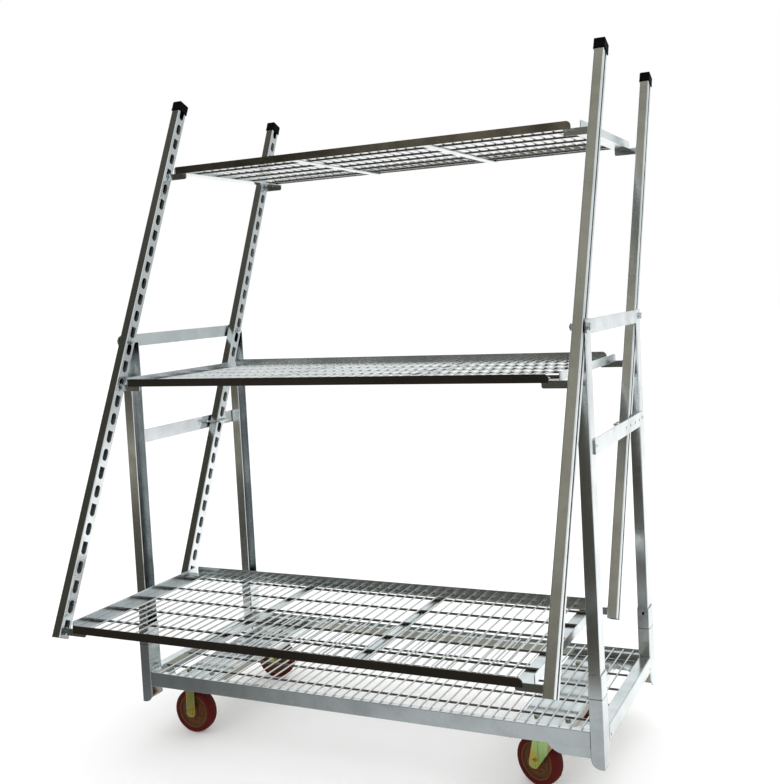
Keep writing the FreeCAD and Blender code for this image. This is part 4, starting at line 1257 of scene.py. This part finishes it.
class CART_OT_stage(bpy.types.Operator):
    """Pale floor, soft lights, grey cards for the reflections and the photograph's camera"""

    bl_idname = "cart.stage"
    bl_label = "Stage"

    def execute(self, context):
        studio = context.scene.cart_stage
        half = studio.floor_size / 2
        corners = [(-half, -half, 0), (half, -half, 0), (half, half, 0), (-half, half, 0)]
        stage_sheet("floor", corners, floor_material(studio.floor_colour, studio.floor_lift))
        for name, (tones, (x, y), (far_x, far_y), tall) in STANDING_CARDS.items():
            corners = [(x, y, 0), (far_x, far_y, 0), (far_x, far_y, tall), (x, y, tall)]
            self.card(name, "Z", tones, corners, studio)
        for name, (axis, tones, (x, y), (far_x, far_y)) in LYING_CARDS.items():
            outline = ((x, y), (far_x, y), (far_x, far_y), (x, far_y))
            self.card(name, axis, tones, [(*corner, CARD_LIFT) for corner in outline], studio)
        add_light("key", *KEY_LIGHT, studio.key_power)
        add_light("rear", *REAR_LIGHT, studio.rear_power)
        add_world(studio.ambient, studio.room_tint)
        add_camera()
        context.scene.view_settings.view_transform = "Standard"
        return {"FINISHED"}

    @staticmethod
    def card(name, axis, tones, corners, studio):
        """A card that only reflections show."""
        tint = studio.room_tint if name in COOL_CARDS else studio.card_tint
        card = stage_sheet(name, corners, card_material(name, axis, tones, tint))
        for ray in ("camera", "diffuse", "shadow", "transmission"):
            setattr(card, f"visible_{ray}", False)


class CART_PT_panel(bpy.types.Panel):
    """Lists the steps that dress the cart"""

    bl_label = "Shelf cart"
    bl_idname = "CART_PT_panel"
    bl_space_type = "VIEW_3D"
    bl_region_type = "UI"
    bl_category = "Shelf cart"

    def draw(self, context):
        layout = self.layout
        for group in (context.scene.cart_finishes, context.scene.cart_fittings, context.scene.cart_stage):
            box = layout.box()
            for name in group.bl_rna.properties.keys():
                if name not in ("rna_type", "name"):
                    box.prop(group, name)
        for step in STEPS:
            layout.operator(step.bl_idname)


STEPS = (
    CART_OT_finishes,
    CART_OT_pivots,
    CART_OT_caster_bolts,
    CART_OT_wheels,
    CART_OT_caps,
    CART_OT_seams,
    CART_OT_frame_welds,
    CART_OT_deck_welds,
    CART_OT_stage,
)
CLASSES = (CartFinishes, CartFittings, CartStage, *STEPS, CART_PT_panel)


def register():
    for made in CLASSES:
        bpy.utils.register_class(made)
    bpy.types.Scene.cart_finishes = PointerProperty(type=CartFinishes)
    bpy.types.Scene.cart_fittings = PointerProperty(type=CartFittings)
    bpy.types.Scene.cart_stage = PointerProperty(type=CartStage)


def unregister():
    del bpy.types.Scene.cart_stage
    del bpy.types.Scene.cart_fittings
    del bpy.types.Scene.cart_finishes
    for made in reversed(CLASSES):
        bpy.utils.unregister_class(made)


def main():
    register()
    for step in STEPS:
        area, name = step.bl_idname.split(".")
        getattr(getattr(bpy.ops, area), name)()


if __name__ == "__main__":
    main()
